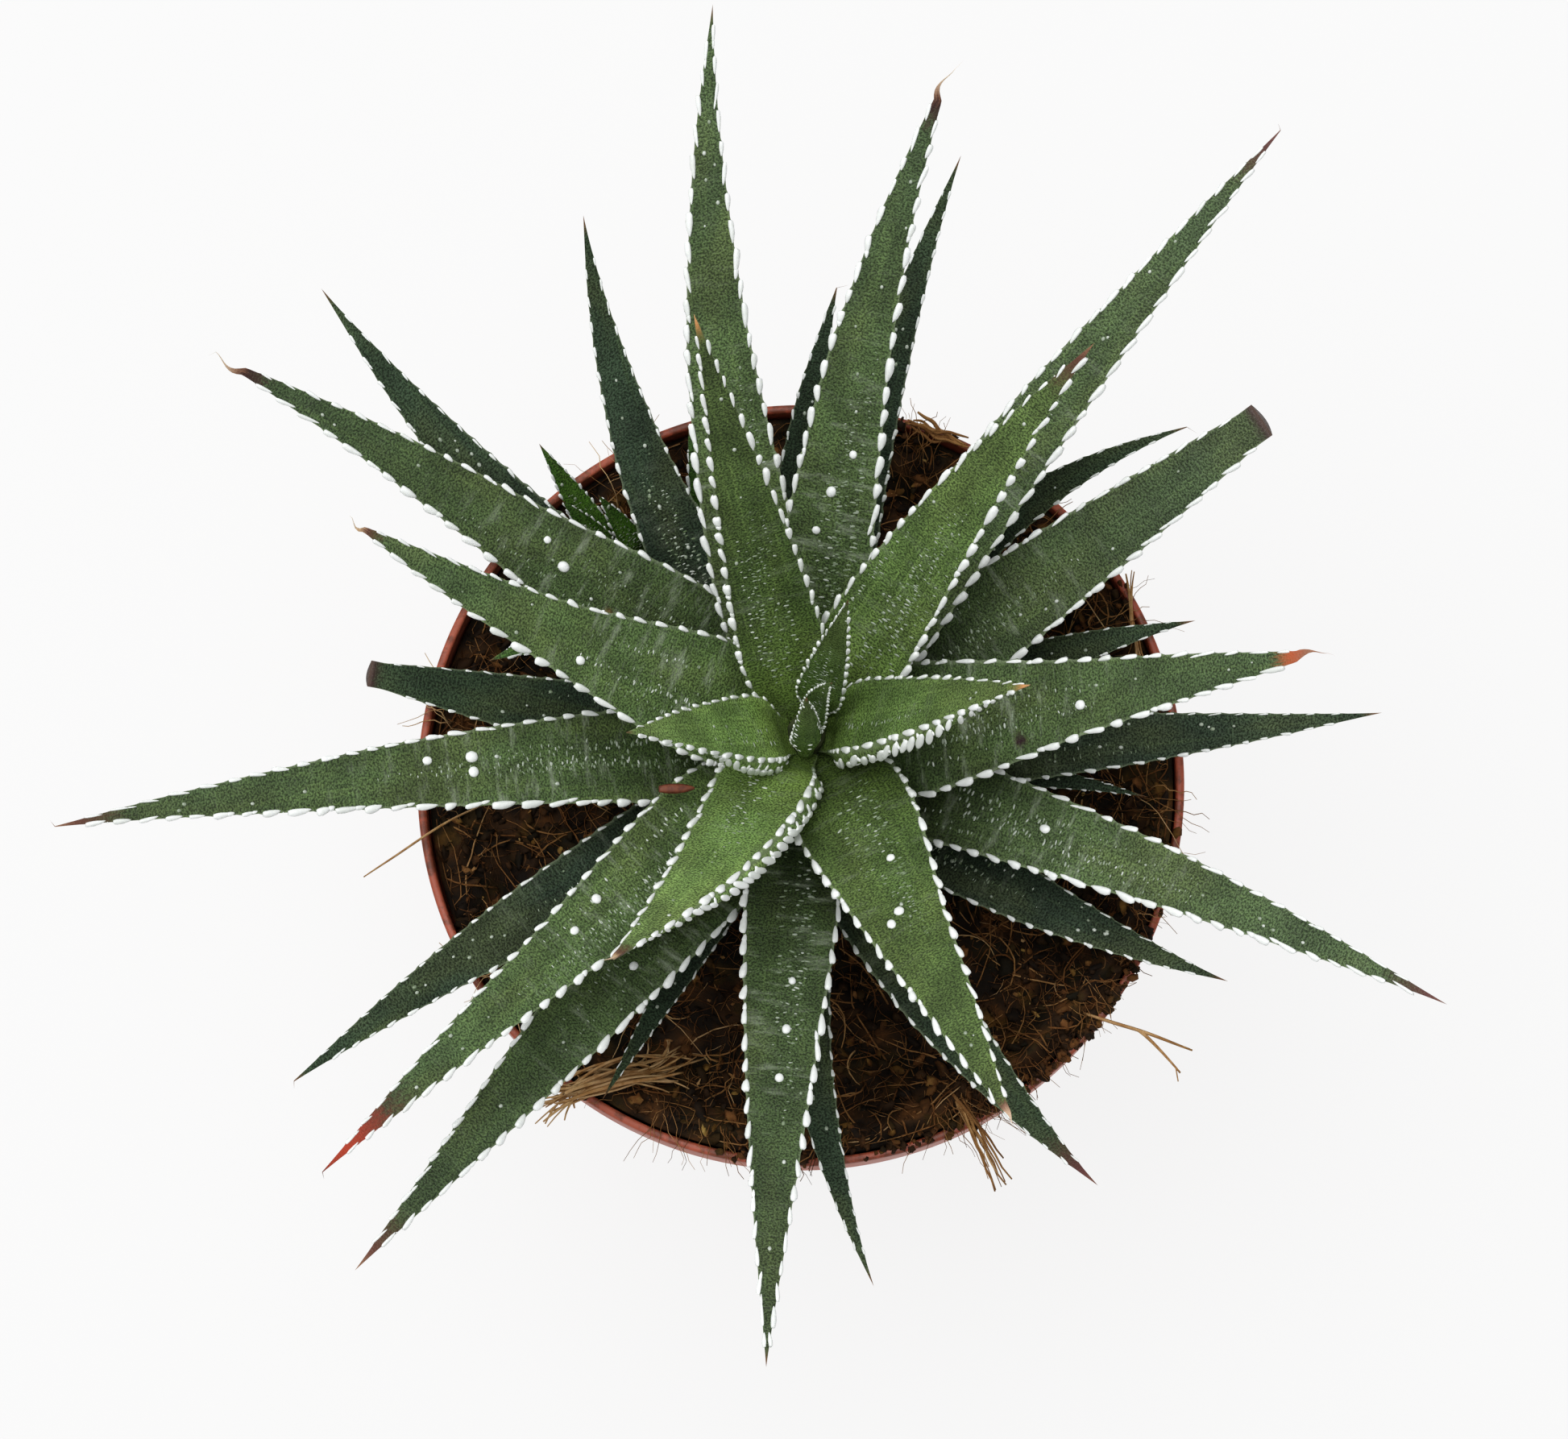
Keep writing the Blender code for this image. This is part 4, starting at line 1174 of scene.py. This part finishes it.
def addStrand(heap, path, radius, shade, sides=4):
    # a tapering closed tube along a path of points
    path = np.asarray(path)
    count = len(path)
    way = unit(np.gradient(path, axis=0))
    helper = np.array((0.31, 0.17, 0.94))
    sideways = unit(np.cross(way, helper))
    up = np.cross(sideways, way)
    turns = np.linspace(0, 2 * math.pi, sides, endpoint=False)
    radius = np.broadcast_to(radius, (count,))
    ring = (np.cos(turns)[None, :, None] * sideways[:, None, :]
            + np.sin(turns)[None, :, None] * up[:, None, :])
    points = path[:, None, :] + ring * radius[:, None, None]
    faces = []
    for row in range(count - 1):
        for side in range(sides):
            follow = (side + 1) % sides
            low = row * sides
            faces.append((low + side, low + follow, low + sides + follow, low + sides + side))
    faces.append(tuple(range(sides - 1, -1, -1)))
    faces.append(tuple(range((count - 1) * sides, count * sides)))
    heap.add(points.reshape(-1, 3), faces, 0, shade)


def wanderingPath(start, heading, length, rng, count=9, bend=0.5, lift=0.6 * mm):
    # a thread that lies on the soil, with a bow in it
    step = length / (count - 1)
    x, y = start
    turn = rng.normal(0, bend)
    path = []
    base = rng.uniform(-0.2, 0.9) * lift
    bow = rng.uniform(0.2, 2.2) * lift
    for index in range(count):
        reach = math.hypot(x, y)
        limit = soilRadius - 0.6 * mm
        px, py = (x, y) if reach < limit else (x * limit / reach, y * limit / reach)
        share = index / (count - 1)
        z = soilLevel(px, py) + base + bow * math.sin(math.pi * share) - 0.4 * mm
        path.append((px, py, z))
        heading += turn * 0.35 + rng.normal(0, bend * 0.35)
        x += step * math.cos(heading)
        y += step * math.sin(heading)
    return np.array(path)


def scatterPlace(rng, inner=0.15):
    reach = soilRadius * math.sqrt(rng.uniform(inner ** 2, 0.975))
    turn = rng.uniform(0, 2 * math.pi)
    return reach * math.cos(turn), reach * math.sin(turn)


crumbBall = ballTemplate(6, 5)
# clumps of peat on the rim: degrees round the pot, spread in degrees, how many crumbs
rimClumps = ((-92, 2.5, 60), (-99, 2.0, 24), (-62, 4.0, 60), (-50, 4.0, 80), (-38, 4.0, 84), (-27, 3.0, 44),
             (-75, 4.0, 40), (-14, 3.0, 16), (-130, 4.0, 24), (32, 3.0, 12), (72, 3.0, 16))


def buildCrumbs():
    rng = np.random.default_rng(71)
    heap = Heap()
    for _ in range(soilLook["crumbs"]):
        x, y = scatterPlace(rng)
        size = rng.uniform(0.20, 1.0) ** 1.5 * mm
        yellow = rng.random() < 0.09
        shade = rng.uniform(0.62, 0.92) if yellow else rng.uniform(0.0, 1.0) ** 1.6 * 0.6
        size = size * 0.7 if yellow else size
        sizes = size * rng.uniform((0.8, 0.5, 0.3), (1.7, 1.0, 0.8))
        axes = np.linalg.qr(rng.normal(size=(3, 3)))[0]
        centre = np.array((x, y, soilLevel(x, y) + 0.15 * size))
        shape, faces = crumbBall
        local = shape * (1 + 0.42 * rng.uniform(-1, 1, (len(shape), 1))) * sizes
        heap.add(centre + local @ axes, faces, 0, shade)
    for degrees, spread, number in rimClumps:
        # peat that lies on the rim
        for _ in range(number):
            turn = math.radians(degrees + rng.normal(0, spread))
            reach = min(pot["inside"] + rng.normal(-0.2, 0.7) * mm, pot["rim"] - 0.1 * mm)
            size = rng.uniform(0.22, 0.70) * mm
            level = pot["top"] + rng.uniform(-0.2, 0.5) * size
            if reach < pot["inside"]:
                level -= (pot["inside"] - reach) * 0.9
            centre = np.array((reach * math.cos(turn), reach * math.sin(turn), level))
            axes = np.linalg.qr(rng.normal(size=(3, 3)))[0]
            shape, faces = crumbBall
            local = shape * (1 + 0.42 * rng.uniform(-1, 1, (len(shape), 1))) * size * rng.uniform(0.5, 1.2, 3)
            heap.add(centre + local @ axes, faces, 0, rng.uniform(0.05, 0.55))
    piece = makeMesh("peatCrumbs", np.vstack(heap.points), heap.faces, (peatMaterial,),
                     values={"shade": np.concatenate(heap.pale)})
    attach(piece, "root")
    print("crumbs:", len(heap.faces), "faces")


# tufts that hang over the rim: degrees round the pot, how many threads, how far they reach past it, shade,
# thickness of a thread and how many degrees they spread
rimTufts = (
    (-64, 10, 7.6, 0.70, 0.20, 0.45), (-64, 16, 5.0, 0.60, 0.06, 2.0), (-147, 12, 3.0, 0.86, 0.08, 2.6),
    (-92, 15, 2.0, 0.42, 0.08, 2.4), (-84, 7, 1.6, 0.48, 0.08, 2.6), (-103, 9, 2.6, 0.60, 0.07, 2.6),
    (-115, 7, 4.0, 0.70, 0.07, 2.8), (-56, 11, 1.6, 0.50, 0.08, 4.0), (-45, 13, 2.4, 0.60, 0.07, 4.5),
    (-33, 10, 1.9, 0.55, 0.07, 4.0), (-20, 7, 1.4, 0.60, 0.06, 3.5), (-12, 6, 3.2, 0.75, 0.07, 2.6),
    (-4, 6, 3.4, 0.80, 0.07, 2.6), (26, 7, 4.0, 0.80, 0.07, 2.6), (50, 7, 2.0, 0.60, 0.07, 2.6),
    (71, 12, 2.6, 0.70, 0.07, 3.0), (121, 8, 3.4, 0.80, 0.07, 2.6), (172, 6, 3.0, 0.90, 0.07, 2.6),
)


def overRimPath(turn, reach, jitter, swingMost, rng, count=9):
    # starts in the soil, goes over the lip and hangs a little; swingMost is in radians round the pot
    inside = pot["inside"] - rng.uniform(2, 7) * mm
    past = pot["rim"] + reach
    heights = pot["top"] + rng.uniform(0.3, 1.6) * mm
    drop = rng.uniform(0.0, 0.9) * reach
    swing = rng.normal(0, swingMost)
    path = []
    for share in np.linspace(0, 1, count):
        radius = inside + (past - inside) * share
        lip = math.exp(-((radius - pot["rim"] + 0.5 * mm) / (3.2 * mm)) ** 2)
        level = soilLevel(inside * math.cos(turn), inside * math.sin(turn))
        z = level + (heights - level) * min(1.0, lip * 1.1 + share)
        if radius > pot["rim"]:
            z -= drop * ((radius - pot["rim"]) / max(reach, 1e-6)) ** 1.5
        if pot["inside"] - 0.3 * mm < radius < pot["rim"] + 0.4 * mm:
            z = max(z, pot["top"] + 0.25 * mm)
        angle = turn + swing * share + rng.normal(0, jitter)
        path.append((radius * math.cos(angle), radius * math.sin(angle), z))
    return np.array(path)


def buildFibres():
    rng = np.random.default_rng(72)
    heap = Heap()
    for _ in range(soilLook["fibres"]):
        path = wanderingPath(scatterPlace(rng), rng.uniform(0, 6.3), rng.uniform(3, 15) * mm, rng)
        radius = rng.uniform(0.05, 0.16) * mm * np.linspace(1, 0.45, len(path))
        addStrand(heap, path, radius, float(np.clip(rng.normal(0.62, 0.15), 0.3, 1.0)))
    for _ in range(soilLook["hairs"]):
        path = wanderingPath(scatterPlace(rng), rng.uniform(0, 6.3), rng.uniform(1.2, 5) * mm, rng,
                             5, 1.1, 0.9 * mm)
        addStrand(heap, path, rng.uniform(0.025, 0.06) * mm,
                  float(np.clip(rng.normal(0.55, 0.15), 0.2, 0.95)), 3)
    for degrees, threads, reach, shade, thick, spread in rimTufts:
        thread = thick > 0.1
        for _ in range(threads):
            turn = math.radians(degrees + rng.normal(0, spread))
            share = rng.uniform(0.6, 1.1) if thread else rng.uniform(0.15, 1.1)
            jitter, swingMost = (0.002, 0.02) if thread else (0.005, 0.09)
            path = overRimPath(turn, reach * share * mm, jitter, swingMost, rng)
            radius = thick * rng.uniform(0.6, 1.4) * mm * np.linspace(1, 0.4, len(path))
            addStrand(heap, path, radius, float(np.clip(rng.normal(shade, 0.1), 0.2, 1.0)))
    piece = makeMesh("coirFibres", np.vstack(heap.points), heap.faces, (fibreMaterial,),
                     values={"shade": np.concatenate(heap.pale)})
    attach(piece, "root")
    print("fibres:", len(heap.faces), "faces")


buildSoil()
buildCrumbs()
buildFibres()
print("soil filled in")


# loose dry pieces, each along its frame piece

def middleLine(name, count):
    # the run of a slender frame piece: averages of its points in slices along its longest way
    points = weldedNode(name)[0]
    centre = points.mean(axis=0)
    way = np.linalg.svd(points - centre, full_matrices=False)[2][0]
    along = (points - centre) @ way
    order = np.argsort(along)
    path = [points[part].mean(axis=0) for part in np.array_split(order, count)]
    ends = (points[order[0]], points[order[-1]])
    path[0] = (path[0] + ends[0]) / 2
    path[-1] = (path[-1] + ends[1]) / 2
    return np.array(path)


def finer(path, count):
    places = np.concatenate(([0.0], np.cumsum(np.linalg.norm(np.diff(path, axis=0), axis=1))))
    return smoothRows(places, path[:, None, :], np.linspace(0, places[-1], count))[:, 0]


loosePieces = {
    # bends of the run, strands side by side, their spread, thickness and shade, how much they fray at the
    # ends, and how flat the whole piece is pressed
    "dry_husk": {"bends": 2, "strands": 1, "spread": 0.0, "thick": 0.80, "shade": 0.50, "fray": 0.0,
                 "flat": 0.4},
    "bark_strip": {"bends": 7, "strands": 7, "spread": 0.5, "thick": 0.24, "shade": 0.70, "fray": 0.3},
    "straw": {"bends": 7, "strands": 3, "spread": 0.16, "thick": 0.18, "shade": 0.80, "fray": 0.3},
    "straw_tuft": {"bends": 7, "strands": 38, "spread": 1.0, "thick": 0.20, "shade": 0.88, "fray": 2.0},
    "forked_root": {"bends": 5, "strands": 2, "spread": 0.10, "thick": 0.27, "shade": 0.82, "fray": 0.2},
    "thin_root": {"bends": 7, "strands": 2, "spread": 0.05, "thick": 0.14, "shade": 0.90, "fray": 0.5},
}


def buildLoosePieces():
    rng = np.random.default_rng(73)
    for name, look in loosePieces.items():
        line = finer(middleLine(name, look["bends"]), 22)
        if np.hypot(*line[0][:2]) > np.hypot(*line[-1][:2]):
            line = line[::-1]
        shares = np.linspace(0, 1, len(line))
        heap = Heap()
        for _ in range(look["strands"]):
            wave = rng.normal(0, 1, 3) * look["spread"] * mm
            drift = rng.normal(0, 1, 3) * look["fray"] * mm * (1, 1, 0.4)
            ends = np.abs(shares * 2 - 1) ** 3
            path = line + wave * np.sin(shares * math.pi * rng.uniform(0.6, 1.5) + rng.uniform(0, 3))[:, None]
            path = path + drift * ends[:, None]
            cut = rng.integers(0, 4) if look["strands"] > 3 else 0
            path = path[cut:len(path) - rng.integers(0, 4) if cut else len(path)]
            taper = np.sin(np.linspace(0.25, math.pi - 0.25, len(path))) ** 0.5
            if name == "dry_husk":
                taper = np.sin(np.linspace(0.04, math.pi - 0.5, len(path))) ** 0.6
            radius = look["thick"] * rng.uniform(0.6, 1.2 if look["strands"] > 1 else 0.8) * mm * taper
            addStrand(heap, path, radius, float(np.clip(rng.normal(look["shade"], 0.07), 0.2, 1.0)), 6)
        if name == "forked_root":
            # the second branch leaves the first two thirds of the way out
            start = line[13]
            way = unit(line[-1] - line[13])
            branch = [start + way * t * 6.0 * mm + np.array((-0.6, -2.8, -0.8)) * mm * t ** 1.2
                      for t in np.linspace(0, 1, 10)]
            addStrand(heap, branch, 0.25 * mm * np.linspace(1, 0.5, 10), 0.84, 6)
            twig = [branch[8] + np.array((0.3, -1.6, -0.4)) * mm * t for t in np.linspace(0, 1, 5)]
            addStrand(heap, twig, 0.08 * mm, 0.86, 4)
        points = np.vstack(heap.points)
        if "flat" in look:
            centre = points.mean(axis=0)
            points[:, 2] = centre[2] + (points[:, 2] - centre[2]) * look["flat"]
        dryMaterial = huskMaterial if name == "dry_husk" else fibreMaterial
        piece = makeMesh(name + "_dried", points, heap.faces, (dryMaterial,),
                         values={"shade": np.concatenate(heap.pale)})
        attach(piece, "root")
        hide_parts(name)


def buildHuskMaterial():
    material, tree, shader = newMaterial("redBrownHusk")
    place = objectVector(tree)
    grain = noiseNode(tree, place, 1400, 4.0, 0.6)
    colour = mixColour(tree, remap(tree, grain, 0.3, 0.7), (0.10, 0.024, 0.012), (0.22, 0.070, 0.032))
    tree.links.new(colour, shader.inputs["Base Color"])
    tree.links.new(remap(tree, grain, 0.0, 1.0, 0.5, 0.7), shader.inputs["Roughness"])
    bump(tree, shader, grain, 0.5, 0.0002)
    return material


def buildStemMaterial():
    material, tree, shader = newMaterial("corkyStem")
    place = objectVector(tree)
    grain = noiseNode(tree, place, 420, 5.0, 0.65)
    colour = mixColour(tree, remap(tree, grain, 0.3, 0.7), (0.030, 0.040, 0.016), (0.080, 0.090, 0.036))
    tree.links.new(colour, shader.inputs["Base Color"])
    tree.links.new(remap(tree, grain, 0.0, 1.0, 0.7, 0.9), shader.inputs["Roughness"])
    bump(tree, shader, grain, 0.6, 0.0004)
    nodes["stem_with_roots"].data.materials[0] = material


huskMaterial = buildHuskMaterial()
buildLoosePieces()
buildStemMaterial()
print("loose pieces laid")


# stage

studio = {"floorSize": 3.0, "floorColour": (0.08, 0.08, 0.08), "glow": 0.70, "sky": 0.45, "softbox": 14.0}


def buildStage():
    material, _, shader = newMaterial("paleFloor")
    shader.inputs["Base Color"].default_value = (*studio["floorColour"], 1.0)
    shader.inputs["Roughness"].default_value = 0.9
    shader.inputs["Emission Color"].default_value = (1.0, 1.0, 1.0, 1.0)
    shader.inputs["Emission Strength"].default_value = studio["glow"]
    half = studio["floorSize"] / 2
    floor = makeMesh("floor", [(-half, -half, 0), (half, -half, 0), (half, half, 0), (-half, half, 0)],
                     [(0, 1, 2, 3)], (material,))
    world = bpy.data.worlds.new("softStudio")
    bpy.context.scene.world = world
    world.use_nodes = True
    sky = world.node_tree.nodes["Background"]
    sky.inputs["Color"].default_value = (1.0, 1.0, 1.0, 1.0)
    sky.inputs["Strength"].default_value = studio["sky"]
    lamp = bpy.data.lights.new("softbox", "AREA")
    lamp.shape = "DISK"
    lamp.size = 1.2
    lamp.energy = studio["softbox"]
    lampPiece = bpy.data.objects.new("softbox", lamp)
    lampPiece.location = (-0.25, 0.20, 1.3)
    way = Vector((0, 0, 0.08)) - lampPiece.location
    lampPiece.rotation_euler = way.to_track_quat("-Z", "Y").to_euler()
    bpy.context.scene.collection.objects.link(lampPiece)


cameraSetup = {"target": (-1.98, 7.31, 80.95), "elevation": 82.6, "distance": 700, "lens": 137.03}


def buildCamera():
    camera = bpy.data.cameras.new("camera")
    camera.lens = cameraSetup["lens"]
    camera.sensor_width = 36
    camera.clip_start = 0.01
    camera.clip_end = 20
    piece = bpy.data.objects.new("camera", camera)
    target = Vector(cameraSetup["target"]) * mm
    tilt = math.radians(cameraSetup["elevation"])
    away = Vector((0, -math.cos(tilt), math.sin(tilt))) * cameraSetup["distance"] * mm
    piece.location = target + away
    piece.rotation_euler = (-away).to_track_quat("-Z", "Y").to_euler()
    bpy.context.scene.collection.objects.link(piece)
    bpy.context.scene.camera = piece


buildStage()
buildCamera()
bpy.context.scene.view_settings.view_transform = "Standard"
bpy.context.scene.view_settings.look = "Medium High Contrast"
print("stage and camera set")
